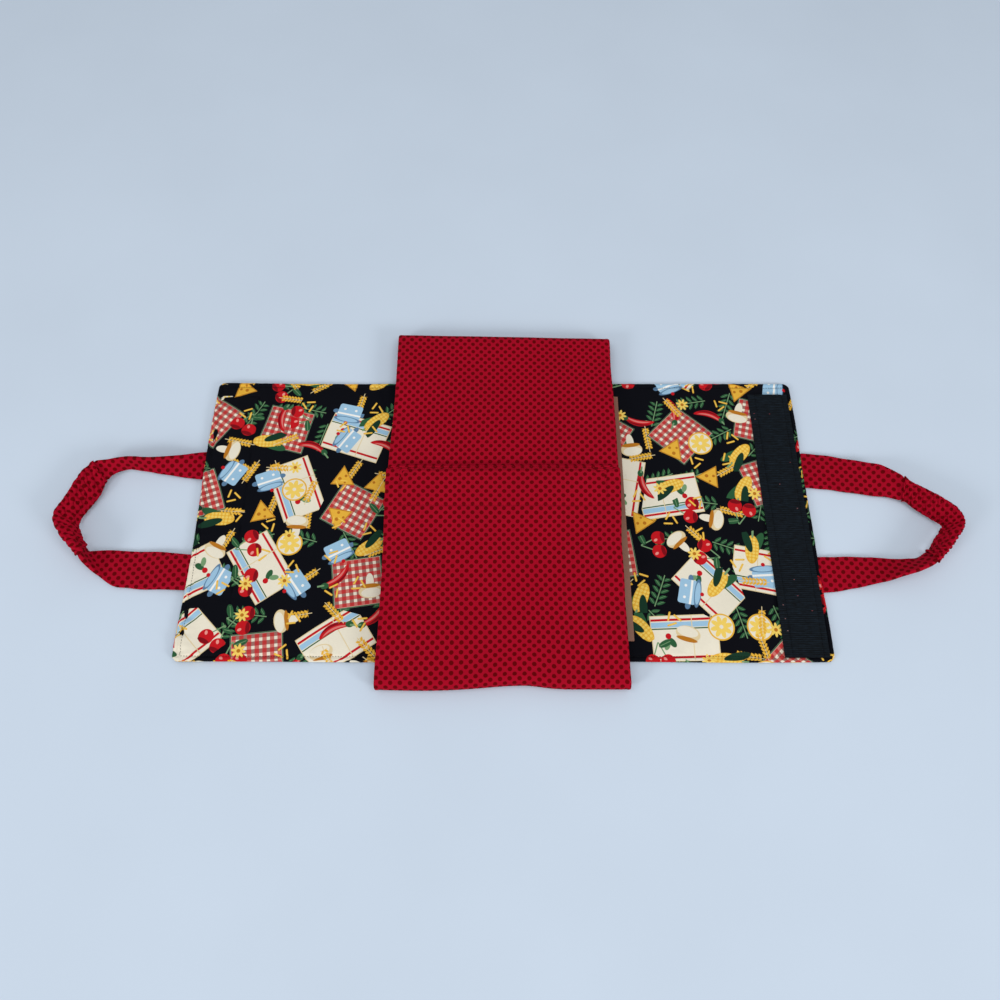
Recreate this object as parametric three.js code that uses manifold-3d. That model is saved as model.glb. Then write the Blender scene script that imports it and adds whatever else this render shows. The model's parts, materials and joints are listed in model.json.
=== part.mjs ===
// A quilted cloth carrier for an oblong baking dish, lying open on a table.
// Millimetres, +Z up. +X runs along the print panel to its hook-and-loop end, +Y to the back,
// and the origin is on the table under the middle of the base.

import * as THREE from 'three';
import { mergeVertices } from 'three/addons/utils/BufferGeometryUtils.js';
import Module from 'manifold-3d';

const wasm = await Module();
wasm.setup();

// Layers of the quilted panels
const cloth = 0.6;
const batting = 3.2;
const layerGap = 0.3;
const seamGap = 0.3;
const quiltThickness = 2 * cloth + 2 * layerGap + batting;

// Print panel: base, then a wall and a lid on each side
const printWidth = 356;
const foldFromMiddle = 148;
const leftWallHeight = 50;
const rightWallHeight = 58;
const leftLidLength = 166;
const rightLidLength = 162;
const lidCornerRadius = 10;

// Red panel, folded in over the base from the front and the back. Past the board and near
// the print panel's edge it comes down in a ramp, and the fold is at the ramp's foot.
const redWidth = 282;
const rampClearance = 7;
const rampInset = 15;
const frontRampLength = 36;
const backRampLength = 70;
const foldInnerRadius = 5;
const backFlapLength = 219;
const flapOverlap = 39;
const flapCornerRadius = 5;
const flapRest = 0.3;

// Stiffening board in its sleeve between the two panels
const boardLength = 280;
const boardWidth = 312;
const boardThickness = 3.2;
const boardShift = 6;
const boardCornerRadius = 3;

// Hook-and-loop strips
const stripThickness = 1.5;
const sideStripWidth = 50;
const sideStripLength = 334;
const sideStripShift = 7;
const sideStripInset = 6;
const hookStripWidth = 50.8;
const loopStripWidth = 25.4;
const flapStripLength = 250;
const hookStripInset = 4;
const loopStripInset = 4;

// Handles: a flat folded strap with a padded grip sleeve round its middle
const strapWidth = 46;
const strapThickness = 3;
const gripWall = 2;
const gripGap = 0.3;
const rootClearance = 0.3;
const rightHandleReach = 162;
const rightHandleSpread = 132;
const rightHandleMiddle = -13;
const leftHandleReach = 150;
const leftHandleSpread = 135;
const leftHandleMiddle = -9;
const strapRestHeight = 1;
const cutOverrun = 2;
const rightGripStartShare = 0.33;
const rightGripEndShare = 0.68;
const leftGripStartShare = 0.33;
const leftGripEndShare = 0.72;
const rootLiftShare = 0.4;
const straightRootShare = 0.03;
const gripWideShare = 0.65;
const edgeCutShare = 0.08;
const rootCapAngle = THREE.MathUtils.degToRad(75);

// Handle routes. Each row is out, along and width as shares of the reach, the spread and the
// strap's width, then the lean of the strap's width off the table in degrees.
const rightRouteShares = [
  [0, 0.5, 1, 0],
  [0.03, 0.5, 1, 0],
  [0.14, 0.475, 1, 3],
  [0.3, 0.435, 1, 8],
  [0.5, 0.385, 0.95, 18],
  [0.66, 0.31, 0.78, 28],
  [0.8, 0.19, 0.65, 36],
  [0.94, 0.045, 0.65, 50],
  [0.985, -0.07, 0.65, 60],
  [0.9, -0.22, 0.65, 62],
  [0.78, -0.34, 0.65, 66],
  [0.62, -0.43, 0.8, 60],
  [0.4, -0.48, 0.95, 36],
  [0.18, -0.5, 1, 10],
  [0.03, -0.5, 1, 0],
  [0, -0.5, 1, 0],
];
const leftRouteShares = [
  [0, 0.5, 1, 0],
  [0.03, 0.5, 1, 0],
  [0.15, 0.49, 1, 12],
  [0.34, 0.5, 0.95, 44],
  [0.55, 0.51, 0.8, 62],
  [0.73, 0.46, 0.65, 48],
  [0.84, 0.33, 0.65, 34],
  [0.93, 0.15, 0.65, 36],
  [0.99, -0.03, 0.65, 52],
  [0.95, -0.18, 0.65, 62],
  [0.84, -0.32, 0.65, 66],
  [0.68, -0.43, 0.8, 56],
  [0.47, -0.48, 0.95, 26],
  [0.22, -0.5, 1, 6],
  [0.03, -0.5, 1, 0],
  [0, -0.5, 1, 0],
];

// Counts
const rampSteps = 10;
const foldSteps = 14;
const cornerSteps = 5;
const handleSteps = 60;
const rootCapSteps = 3;

// Places on the red panel, from its middle to the front and the back
const rampTopFromMiddle = Math.max(
  boardWidth / 2 + rampClearance, printWidth / 2 - rampInset);
const frontFoldFromMiddle = rampTopFromMiddle + frontRampLength;
const backFoldFromMiddle = rampTopFromMiddle + backRampLength;
const frontFlapLength = frontFoldFromMiddle + backFoldFromMiddle - backFlapLength + flapOverlap;

// Heights of the stack on the base
const boardBottom = quiltThickness + layerGap;
const redBottom = boardBottom + boardThickness + layerGap;
const redTop = redBottom + quiltThickness;
const foldOuterRadius = foldInnerRadius + quiltThickness;
const hingeHeight = quiltThickness + seamGap / 2;
const seamHeight = quiltThickness / 2;

// Materials
const paint = (color, roughness) =>
  new THREE.MeshStandardMaterial({ color, roughness, metalness: 0, flatShading: true });
const printCloth = () => paint(0x16171d, 0.85);
const redCloth = () => paint(0x930e20, 0.85);
const wadding = () => paint(0xe9e4d8, 0.95);
const hardboard = () => paint(0x6e4a3a, 0.7);
const hookTape = () => paint(0x0d161e, 0.9);

const carrier = new THREE.Group();

// Solids are joined and cut on closed meshes whose vertices are merged.
function toSolid(geometry) {
  const plain = geometry.index ? geometry.toNonIndexed() : geometry.clone();
  plain.deleteAttribute('normal');
  plain.deleteAttribute('uv');
  const merged = mergeVertices(plain, layerGap / 1000);
  return new wasm.Manifold(new wasm.Mesh({
    numProp: 3,
    vertProperties: merged.attributes.position.array,
    triVerts: new Uint32Array(merged.index.array),
  }));
}

function toGeometry(solid) {
  const mesh = solid.getMesh();
  const geometry = new THREE.BufferGeometry();
  geometry.setAttribute('position', new THREE.BufferAttribute(mesh.vertProperties, 3));
  geometry.setIndex(new THREE.BufferAttribute(mesh.triVerts, 1));
  geometry.computeVertexNormals();
  return geometry;
}

function place(parent, name, geometry, material) {
  const mesh = new THREE.Mesh(geometry, material);
  mesh.name = name;
  parent.add(mesh);
  return mesh;
}

function block(low, high) {
  const geometry = new THREE.BoxGeometry(high[0] - low[0], high[1] - low[1], high[2] - low[2]);
  geometry.translate((low[0] + high[0]) / 2, (low[1] + high[1]) / 2, (low[2] + high[2]) / 2);
  return geometry;
}

// A rectangle from low to high whose corners are rounded only at the named ends.
function roundedOutline(low, high, radius, roundLow, roundHigh) {
  const lowRadius = roundLow ? radius : 0;
  const highRadius = roundHigh ? radius : 0;
  const outline = new THREE.Shape();
  outline.moveTo(low[0], low[1] + lowRadius);
  if (roundLow) {
    outline.absarc(low[0] + radius, low[1] + radius, radius, Math.PI, 1.5 * Math.PI);
  }
  outline.lineTo(high[0] - highRadius, low[1]);
  if (roundHigh) {
    outline.absarc(high[0] - radius, low[1] + radius, radius, 1.5 * Math.PI, 2 * Math.PI);
  }
  outline.lineTo(high[0], high[1] - highRadius);
  if (roundHigh) {
    outline.absarc(high[0] - radius, high[1] - radius, radius, 0, Math.PI / 2);
  }
  outline.lineTo(low[0] + lowRadius, high[1]);
  if (roundLow) {
    outline.absarc(low[0] + radius, high[1] - radius, radius, Math.PI / 2, Math.PI);
  }
  return outline;
}

function slab(outline, bottom, top) {
  const geometry = new THREE.ExtrudeGeometry(outline, {
    depth: top - bottom,
    bevelEnabled: false,
    curveSegments: cornerSteps,
  });
  geometry.translate(0, 0, bottom);
  return geometry;
}

// One flat quilted piece: two cloths with turned-in rims that meet at the seam, and the
// batting between them. Where the quilt runs on into its neighbour the end has no rim.
function quiltedPiece(parent, name, box, ends, cornerRadius, material) {
  const { low, high } = box;
  const insetLow = ends.low ? cloth : -layerGap;
  const insetHigh = ends.high ? cloth : -layerGap;
  const full = roundedOutline(low, high, cornerRadius, ends.low, ends.high);
  const hollow = roundedOutline(
    [low[0] + insetLow, low[1] + cloth],
    [high[0] - insetHigh, high[1] - cloth],
    cornerRadius - cloth, ends.low, ends.high);
  const fill = roundedOutline(
    [low[0] + (ends.low ? cloth + layerGap : 0), low[1] + cloth + layerGap],
    [high[0] - (ends.high ? cloth + layerGap : 0), high[1] - cloth - layerGap],
    cornerRadius - cloth - layerGap, ends.low, ends.high);

  const under = toSolid(slab(full, 0, seamHeight - seamGap / 2))
    .subtract(toSolid(slab(hollow, cloth, quiltThickness)));
  const over = toSolid(slab(full, seamHeight + seamGap / 2, quiltThickness))
    .subtract(toSolid(slab(hollow, 0, quiltThickness - cloth)));
  place(parent, `${name}_under_cloth`, toGeometry(under), material());
  place(parent, `${name}_batting`,
    slab(fill, cloth + layerGap, quiltThickness - cloth - layerGap), wadding());
  place(parent, `${name}_over_cloth`, toGeometry(over), material());
}

function tape(parent, name, low, high) {
  place(parent, name, block(low, high), hookTape());
}

// Print panel
function addPrintPanel() {
  const halfWidth = printWidth / 2;
  const halfGap = seamGap / 2;
  const noRims = { low: false, high: false };
  const base = {
    low: [-foldFromMiddle + halfGap, -halfWidth],
    high: [foldFromMiddle - halfGap, halfWidth],
  };
  quiltedPiece(carrier, 'print_base', base, noRims, lidCornerRadius, printCloth);

  const rightWall = {
    low: [foldFromMiddle + halfGap, -halfWidth],
    high: [foldFromMiddle + rightWallHeight - halfGap, halfWidth],
  };
  quiltedPiece(carrier, 'right_wall', rightWall, noRims, lidCornerRadius, printCloth);

  const leftWall = {
    low: [-foldFromMiddle - leftWallHeight + halfGap, -halfWidth],
    high: [-foldFromMiddle - halfGap, halfWidth],
  };
  quiltedPiece(carrier, 'left_wall', leftWall, noRims, lidCornerRadius, printCloth);

  const rightLidStart = foldFromMiddle + rightWallHeight;
  const rightEnd = rightLidStart + rightLidLength;
  const rightLid = {
    low: [rightLidStart + halfGap, -halfWidth],
    high: [rightEnd, halfWidth],
  };
  quiltedPiece(
    carrier, 'right_lid', rightLid, { low: false, high: true }, lidCornerRadius, printCloth);
  const stripBack = halfWidth - (printWidth - sideStripLength) / 2 - sideStripShift;
  tape(carrier, 'right_side_strip',
    [rightEnd - sideStripInset - sideStripWidth, stripBack - sideStripLength,
      quiltThickness + layerGap],
    [rightEnd - sideStripInset, stripBack, quiltThickness + layerGap + stripThickness]);

  // The left lid lies on the strip sewn to its underside, so its end is tipped up a little.
  const leftLid = new THREE.Group();
  leftLid.position.set(-foldFromMiddle - leftWallHeight, 0, hingeHeight);
  leftLid.rotation.y = leftLidTip();
  carrier.add(leftLid);
  const sunk = new THREE.Group();
  sunk.position.set(0, 0, -hingeHeight);
  leftLid.add(sunk);
  const leftPiece = {
    low: [-leftLidLength, -halfWidth],
    high: [-halfGap, halfWidth],
  };
  quiltedPiece(
    sunk, 'left_lid', leftPiece, { low: true, high: false }, lidCornerRadius, printCloth);
  tape(sunk, 'left_side_strip',
    [-leftLidLength + sideStripInset, stripBack - sideStripLength,
      -layerGap - stripThickness],
    [-leftLidLength + sideStripInset + sideStripWidth, stripBack, -layerGap]);
}

// The tip that lets the inner edge of the left strip just touch the table.
function leftLidTip() {
  const stripFromFold = leftLidLength - sideStripInset - sideStripWidth;
  return Math.asin((layerGap + stripThickness) / stripFromFold);
}

// Red panel: the base is a curved band that drops from the board to the folds on the table.
function underlineHeight(y) {
  const foldAt = y < 0 ? frontFoldFromMiddle : backFoldFromMiddle;
  const share = THREE.MathUtils.clamp(
    (foldAt - Math.abs(y)) / (foldAt - rampTopFromMiddle), 0, 1);
  return redBottom * THREE.MathUtils.smoothstep(share, 0, 1);
}

function redUnderline() {
  const points = [];
  const start = -frontFoldFromMiddle + seamGap / 2;
  const end = backFoldFromMiddle - seamGap / 2;
  for (let i = 0; i <= rampSteps; i += 1) {
    const y = THREE.MathUtils.lerp(start, -rampTopFromMiddle, i / rampSteps);
    points.push(new THREE.Vector2(y, underlineHeight(y)));
  }
  for (let i = 0; i <= rampSteps; i += 1) {
    const y = THREE.MathUtils.lerp(rampTopFromMiddle, end, i / rampSteps);
    points.push(new THREE.Vector2(y, underlineHeight(y)));
  }
  return points;
}

// The band between two distances from an open line, square to it, as a closed outline.
function band(line, near, far) {
  const offset = (distance) => line.map((point, i) => {
    const before = line[Math.max(i - 1, 0)];
    const after = line[Math.min(i + 1, line.length - 1)];
    const along = after.clone().sub(before).normalize();
    const level = i === 0 || i === line.length - 1;
    const across = level ? new THREE.Vector2(0, 1) : new THREE.Vector2(-along.y, along.x);
    return point.clone().addScaledVector(across, distance);
  });
  return new THREE.Shape([...offset(near), ...offset(far).reverse()]);
}

// An outline drawn in Y and Z, extruded along X.
function alongX(outline, low, high, segments) {
  const geometry = new THREE.ExtrudeGeometry(outline, {
    depth: high - low,
    bevelEnabled: false,
    curveSegments: segments,
  });
  geometry.translate(0, 0, low);
  geometry.applyMatrix4(new THREE.Matrix4().makeBasis(
    new THREE.Vector3(0, 1, 0), new THREE.Vector3(0, 0, 1), new THREE.Vector3(1, 0, 0)));
  return geometry;
}

function addRedBase() {
  const halfWidth = redWidth / 2;
  const line = redUnderline();
  const longer = [
    line[0].clone().setX(line[0].x - cutOverrun),
    ...line,
    line[line.length - 1].clone().setX(line[line.length - 1].x + cutOverrun),
  ];
  const sheet = (path, near, far, low, high) =>
    toSolid(alongX(band(path, near, far), low, high, 1));
  const under = sheet(line, 0, seamHeight - seamGap / 2, -halfWidth, halfWidth)
    .subtract(sheet(longer, cloth, quiltThickness, -halfWidth + cloth, halfWidth - cloth));
  const over = sheet(line, seamHeight + seamGap / 2, quiltThickness, -halfWidth, halfWidth)
    .subtract(sheet(longer, 0, quiltThickness - cloth, -halfWidth + cloth, halfWidth - cloth));
  place(carrier, 'red_base_under_cloth', toGeometry(under), redCloth());
  place(carrier, 'red_base_batting', toGeometry(sheet(
    line, cloth + layerGap, quiltThickness - cloth - layerGap,
    -halfWidth + cloth + layerGap, halfWidth - cloth - layerGap)), wadding());
  place(carrier, 'red_base_over_cloth', toGeometry(over), redCloth());
}

// The front flap rises from its fold so that its strip lies on the back flap's strip.
function backFlapDrop() {
  const tipHeight = redTop + flapRest - foldOuterRadius;
  return Math.asin((foldInnerRadius - tipHeight) / backFlapLength);
}

function frontFlapRise() {
  const stripY = backFoldFromMiddle - backFlapLength + loopStripInset;
  const backTop = foldOuterRadius + foldOuterRadius
    - (backFoldFromMiddle - stripY) * Math.sin(backFlapDrop());
  const flapBottom = backTop + 2 * (layerGap + stripThickness) + layerGap;
  const reach = frontFoldFromMiddle + stripY;
  return Math.asin((flapBottom - foldOuterRadius - foldInnerRadius) / reach);
}

function addFlaps() {
  const halfWidth = redWidth / 2;
  const stripHalf = flapStripLength / 2;

  const front = new THREE.Group();
  front.position.set(0, -frontFoldFromMiddle, foldOuterRadius);
  front.rotation.set(frontFlapRise(), 0, 0);
  carrier.add(front);
  addFlap(front, 'front_flap', frontFlapLength, halfWidth);
  tape(front, 'flap_hook_strip',
    [-stripHalf, frontFlapLength - hookStripInset - hookStripWidth,
      foldInnerRadius - layerGap - stripThickness],
    [stripHalf, frontFlapLength - hookStripInset, foldInnerRadius - layerGap]);

  const back = new THREE.Group();
  back.position.set(0, backFoldFromMiddle, foldOuterRadius);
  back.rotation.set(backFlapDrop(), 0, Math.PI);
  carrier.add(back);
  addFlap(back, 'back_flap', backFlapLength, halfWidth);
  tape(back, 'flap_loop_strip',
    [-stripHalf, backFlapLength - loopStripInset - loopStripWidth,
      foldOuterRadius + layerGap],
    [stripHalf, backFlapLength - loopStripInset,
      foldOuterRadius + layerGap + stripThickness]);

  addFold('front_fold', -frontFoldFromMiddle, -1, frontFlapRise());
  addFold('back_fold', backFoldFromMiddle, 1, -backFlapDrop());
}

// A flap lies along its own +Y from the middle of its fold, turned from the flat piece's X.
function addFlap(parent, name, length, halfWidth) {
  const turned = new THREE.Group();
  turned.rotation.z = Math.PI / 2;
  turned.position.z = foldInnerRadius;
  parent.add(turned);
  const piece = {
    low: [seamGap / 2, -halfWidth],
    high: [length, halfWidth],
  };
  quiltedPiece(turned, name, piece, { low: false, high: true }, flapCornerRadius, redCloth);
}

// The quilt bends round each fold as half a ring, up to the flap's own slope.
function addFold(name, y, side, rise) {
  const trim = seamGap / (2 * foldInnerRadius);
  const from = -Math.PI / 2 + trim;
  const to = Math.PI / 2 - rise - trim;
  const ring = new THREE.Shape();
  ring.absarc(0, 0, foldOuterRadius, from, to, false);
  ring.absarc(0, 0, foldInnerRadius, to, from, true);
  const geometry = alongX(ring, -redWidth / 2, redWidth / 2, foldSteps);
  const solid = side > 0 ? toSolid(geometry) : toSolid(geometry).mirror([0, 1, 0]);
  place(carrier, name, toGeometry(solid.translate([0, y, foldOuterRadius])), redCloth());
}

// Board
function addBoard() {
  const outline = roundedOutline(
    [boardShift - boardLength / 2, -boardWidth / 2],
    [boardShift + boardLength / 2, boardWidth / 2],
    boardCornerRadius, true, true);
  place(carrier, 'base_board',
    slab(outline, boardBottom, boardBottom + boardThickness), hardboard());
}

// Stations along a strap: its middle, the two directions of its section and its half width.
function handleStations(shares, handle) {
  const last = shares.length - 1;
  const centres = shares.map(([out, along, wide, lean]) => {
    const angle = THREE.MathUtils.degToRad(lean);
    const sleeve = (gripGap + gripWall)
      * THREE.MathUtils.clamp((1 - wide) / (1 - gripWideShare), 0, 1);
    const rest = strapRestHeight + (strapWidth * wide / 2 + sleeve) * Math.sin(angle)
      + (strapThickness / 2 + sleeve) * Math.cos(angle);
    const lift = (handle.rootHeight - strapRestHeight - strapThickness / 2)
      * Math.max(0, 1 - THREE.MathUtils.smoothstep(out, straightRootShare, rootLiftShare));
    return new THREE.Vector3(
      handle.side * (handle.rootAt + out * handle.reach),
      handle.middle + along * handle.spread,
      rest + lift);
  });
  const path = new THREE.CatmullRomCurve3(centres, false, 'centripetal');
  const stations = [];
  for (let i = 0; i <= handleSteps; i += 1) {
    const t = i / handleSteps;
    const row = Math.min(Math.floor(t * last), last - 1);
    const blend = THREE.MathUtils.smoothstep(t * last - row, 0, 1);
    const wide = THREE.MathUtils.lerp(shares[row][2], shares[row + 1][2], blend);
    const lean = THREE.MathUtils.degToRad(
      THREE.MathUtils.lerp(shares[row][3], shares[row + 1][3], blend));
    const along = path.getTangent(t);
    const outward = new THREE.Vector3(along.y, -along.x, 0).normalize()
      .multiplyScalar(-handle.side);
    const rise = new THREE.Vector3().crossVectors(outward, along).normalize()
      .multiplyScalar(-handle.side);
    const across = outward.clone().multiplyScalar(Math.cos(lean))
      .addScaledVector(rise, Math.sin(lean));
    const up = new THREE.Vector3().crossVectors(along, across).normalize();
    stations.push({ t, centre: path.getPoint(t), across, up, half: strapWidth * wide / 2 });
  }
  return stations;
}

// The strap's ends are rounded over about the hinge line in the seam.
function withRoundedEnds(stations) {
  const radius = strapThickness / 2;
  const cap = (station, outward) => Array.from({ length: rootCapSteps }, (_, step) => {
    const angle = (step + 1) / rootCapSteps * rootCapAngle;
    return {
      ...station,
      centre: station.centre.clone().addScaledVector(outward, radius * Math.sin(angle)),
      thin: Math.cos(angle),
    };
  });
  const ends = [stations[0], stations[stations.length - 1]];
  const inward = new THREE.Vector3(-Math.sign(ends[0].centre.x), 0, 0);
  return [...cap(ends[0], inward).reverse(), ...stations, ...cap(ends[1], inward)];
}

// A straight bar of the given section, one step per station, carried onto the stations.
function sweep(section, stations, halfSize) {
  const steps = stations.length - 1;
  const geometry = new THREE.ExtrudeGeometry(section, { depth: 1, steps, bevelEnabled: false });
  const position = geometry.attributes.position;
  const point = new THREE.Vector3();
  for (let i = 0; i < position.count; i += 1) {
    const station = stations[Math.round(position.getZ(i) * steps)];
    const [halfWide, halfThick] = halfSize(station);
    point.copy(station.centre)
      .addScaledVector(station.across, position.getX(i) * halfWide)
      .addScaledVector(station.up, position.getY(i) * halfThick * (station.thin ?? 1));
    position.setXYZ(i, point.x, point.y, point.z);
  }
  return geometry;
}

// A unit section, two wide and two thick, with its corners cut off.
function unitSection(cut) {
  return new THREE.Shape([
    new THREE.Vector2(-1 + cut, -1), new THREE.Vector2(1 - cut, -1),
    new THREE.Vector2(1, 0), new THREE.Vector2(1 - cut, 1),
    new THREE.Vector2(-1 + cut, 1), new THREE.Vector2(-1, 0),
  ]);
}

function addHandle(name, handle, shares) {
  const stations = handleStations(shares, handle);
  const strap = sweep(unitSection(edgeCutShare), withRoundedEnds(stations),
    (station) => [station.half, strapThickness / 2]);
  place(carrier, `${name}_strap`, facingOut(strap), redCloth());

  const held = stations.filter(
    ({ t }) => t >= handle.gripStart && t <= handle.gripEnd);
  const tube = sweep(unitSection(edgeCutShare), held,
    (station) => [station.half + gripGap + gripWall, strapThickness / 2 + gripGap + gripWall]);
  const bore = sweep(unitSection(edgeCutShare), [
    { ...held[0], centre: pushed(held[0], held[1]) }, ...held,
    { ...held[held.length - 1], centre: pushed(held[held.length - 1], held[held.length - 2]) },
  ], (station) => [station.half + gripGap, strapThickness / 2 + gripGap]);
  const sleeve = toSolid(facingOut(tube)).subtract(toSolid(facingOut(bore)));
  place(carrier, `${name}_grip`, toGeometry(sleeve), redCloth());
}

// A point just outside a station, away from the next one in.
function pushed(station, next) {
  const away = station.centre.clone().sub(next.centre).normalize();
  return station.centre.clone().addScaledVector(away, cutOverrun);
}

// A swept bar can come out inside out, so its faces are turned when its volume is negative.
function facingOut(geometry) {
  const position = geometry.attributes.position;
  const [a, b, c] = [new THREE.Vector3(), new THREE.Vector3(), new THREE.Vector3()];
  let volume = 0;
  for (let i = 0; i < position.count; i += 3) {
    a.fromBufferAttribute(position, i);
    b.fromBufferAttribute(position, i + 1);
    c.fromBufferAttribute(position, i + 2);
    volume += a.dot(b.cross(c));
  }
  if (volume < 0) {
    for (let i = 0; i < position.count; i += 3) {
      b.fromBufferAttribute(position, i + 1);
      c.fromBufferAttribute(position, i + 2);
      position.setXYZ(i + 1, c.x, c.y, c.z);
      position.setXYZ(i + 2, b.x, b.y, b.z);
    }
  }
  return geometry;
}

function addHandles() {
  const rightEnd = foldFromMiddle + rightWallHeight + rightLidLength;
  addHandle('right_handle', {
    side: 1,
    rootAt: rightEnd + rootClearance + strapThickness / 2,
    rootHeight: seamHeight,
    reach: rightHandleReach,
    spread: rightHandleSpread,
    middle: rightHandleMiddle,
    gripStart: rightGripStartShare,
    gripEnd: rightGripEndShare,
  }, rightRouteShares);

  const tip = leftLidTip();
  const rootOut = leftLidLength + rootClearance + strapThickness / 2;
  addHandle('left_handle', {
    side: -1,
    rootAt: foldFromMiddle + leftWallHeight + rootOut * Math.cos(tip)
      + (hingeHeight - seamHeight) * Math.sin(tip),
    rootHeight: hingeHeight + rootOut * Math.sin(tip)
      - (hingeHeight - seamHeight) * Math.cos(tip),
    reach: leftHandleReach,
    spread: leftHandleSpread,
    middle: leftHandleMiddle,
    gripStart: leftGripStartShare,
    gripEnd: leftGripEndShare,
  }, leftRouteShares);
}

addPrintPanel();
addBoard();
addRedBase();
addFlaps();
addHandles();

export default carrier;
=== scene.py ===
import json
import math

import bmesh
import bpy
import numpy as np
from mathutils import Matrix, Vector
from mathutils.bvhtree import BVHTree


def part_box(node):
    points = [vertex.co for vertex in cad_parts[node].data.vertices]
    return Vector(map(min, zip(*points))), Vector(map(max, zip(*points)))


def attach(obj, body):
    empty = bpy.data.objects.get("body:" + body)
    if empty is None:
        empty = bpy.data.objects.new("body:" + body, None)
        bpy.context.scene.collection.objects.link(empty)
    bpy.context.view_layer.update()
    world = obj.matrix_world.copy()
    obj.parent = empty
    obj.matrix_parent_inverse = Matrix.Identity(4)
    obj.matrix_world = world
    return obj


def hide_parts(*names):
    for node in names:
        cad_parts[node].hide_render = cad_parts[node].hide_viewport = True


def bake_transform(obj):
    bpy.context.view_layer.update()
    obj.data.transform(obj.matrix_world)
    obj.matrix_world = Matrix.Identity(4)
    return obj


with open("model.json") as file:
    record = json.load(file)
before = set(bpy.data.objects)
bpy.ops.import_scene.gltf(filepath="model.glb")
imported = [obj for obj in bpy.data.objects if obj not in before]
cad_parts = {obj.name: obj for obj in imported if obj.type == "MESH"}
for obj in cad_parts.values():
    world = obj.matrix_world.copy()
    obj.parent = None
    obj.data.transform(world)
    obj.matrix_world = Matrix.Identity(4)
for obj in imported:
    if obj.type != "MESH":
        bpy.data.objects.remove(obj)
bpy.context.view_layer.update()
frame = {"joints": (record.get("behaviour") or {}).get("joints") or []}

mm = 0.001


# Working helpers

def pick(piece):
    # operators act on all that is selected, so nothing else stays selected
    bpy.ops.object.select_all(action="DESELECT")
    piece.select_set(True)
    bpy.context.view_layer.objects.active = piece


def edit(piece):
    pick(piece)
    bpy.ops.object.mode_set(mode="EDIT")
    bpy.ops.mesh.select_all(action="SELECT")


def leave():
    bpy.ops.object.mode_set(mode="OBJECT")


def begin(name, add, **settings):
    # a new primitive, alone selected and in edit mode
    bpy.ops.object.select_all(action="DESELECT")
    add(**settings)
    piece = bpy.context.active_object
    piece.name = piece.data.name = name
    edit(piece)
    return piece


def faceOutwards(piece):
    edit(piece)
    bpy.ops.mesh.normals_make_consistent(inside=False)
    leave()


def pickUpright(piece, tall):
    # the edges that rise by more than a height
    bpy.ops.mesh.select_all(action="DESELECT")
    shape = bmesh.from_edit_mesh(piece.data)
    for line in shape.edges:
        line.select_set(abs(line.verts[0].co.z - line.verts[1].co.z) > tall)
    bmesh.update_edit_mesh(piece.data)


def apply(piece, kind, **settings):
    pick(piece)
    modifier = piece.modifiers.new(kind.title(), kind)
    for name, value in settings.items():
        setattr(modifier, name, value)
    bpy.ops.object.modifier_apply(modifier=modifier.name)


def roundUp(piece, levels):
    apply(piece, "SUBSURF", levels=levels, render_levels=levels)


def smooth(piece, degrees=40):
    pick(piece)
    bpy.ops.object.shade_smooth_by_angle(angle=math.radians(degrees))


def read(items, name, width=1, kind=np.float32):
    values = np.empty(len(items) * width, kind)
    items.foreach_get(name, values)
    return values.reshape(-1, width) if width > 1 else values


def places(piece):
    return read(piece.data.vertices, "co", 3).astype(float)


def setPlaces(piece, spots):
    piece.data.vertices.foreach_set("co", np.asarray(spots, np.float32).ravel())
    piece.data.update()


def shaping(how):
    # how moves a piece's points in place, given as columns of X, Y and Z
    def work(piece, *rest):
        spots = places(piece)
        how(*spots.T, *rest)
        setPlaces(piece, spots)
    return work


def clothUvs(piece):
    return read(piece.data.uv_layers["cloth"].data, "uv", 2).astype(float)


def setClothUvs(piece, uvs):
    layers = piece.data.uv_layers
    while layers:
        layers.remove(layers[0])
    layers.new(name="cloth").data.foreach_set("uv", np.asarray(uvs, np.float32).ravel())


def facesDown(mesh):
    # for each corner of the mesh, whether its face looks down
    down = read(mesh.polygons, "normal", 3)[:, 2] < -0.5
    return np.repeat(down, read(mesh.polygons, "loop_total", kind=np.int32))


def bump(x):
    return np.exp(-x * x)


def step(x, start, end):
    share = np.clip((x - start) / (end - start), 0, 1)
    return share * share * (3 - 2 * share)


def waves(a, b, sizes, seed):
    # slow, uneven waves over a surface, from -1 to 1
    draw = np.random.default_rng(seed)
    total = np.zeros_like(a)
    for size in sizes:
        turn, shift = draw.uniform(0, 2 * math.pi, 2)
        total += np.sin((a * math.cos(turn) + b * math.sin(turn)) * 2 * math.pi / size + shift)
    return total / len(sizes)


def unit(rows):
    return rows / np.linalg.norm(rows, axis=1)[:, None]


def runsAlong(points):
    return np.concatenate([[0], np.cumsum(np.linalg.norm(np.diff(points, axis=0), axis=1))])


def between(run, runs, table):
    return np.stack([np.interp(run, runs, column) for column in table.T], axis=1)


# Shader helpers

def ink(red, green, blue):
    # a colour as it is seen, 0 to 255, made linear
    return tuple(
        (c / 255 / 12.92 if c <= 10 else ((c / 255 + 0.055) / 1.055) ** 2.4)
        for c in (red, green, blue)) + (1,)


def toned(colour, share):
    return tuple(c * share for c in colour[:3]) + (1,)


class Wire:
    # a value in a shader tree, so that a shader reads as a sum
    def __init__(self, socket):
        self.socket = socket

    def __add__(self, other):
        return calc("ADD", self, other)

    def __sub__(self, other):
        return calc("SUBTRACT", self, other)

    def __mul__(self, other):
        return calc("MULTIPLY", self, other)

    def __truediv__(self, other):
        return calc("DIVIDE", self, other)

    def __abs__(self):
        return calc("ABSOLUTE", self)


def treeOf(*values):
    return next(value.socket.id_data for value in values if isinstance(value, Wire))


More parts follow.
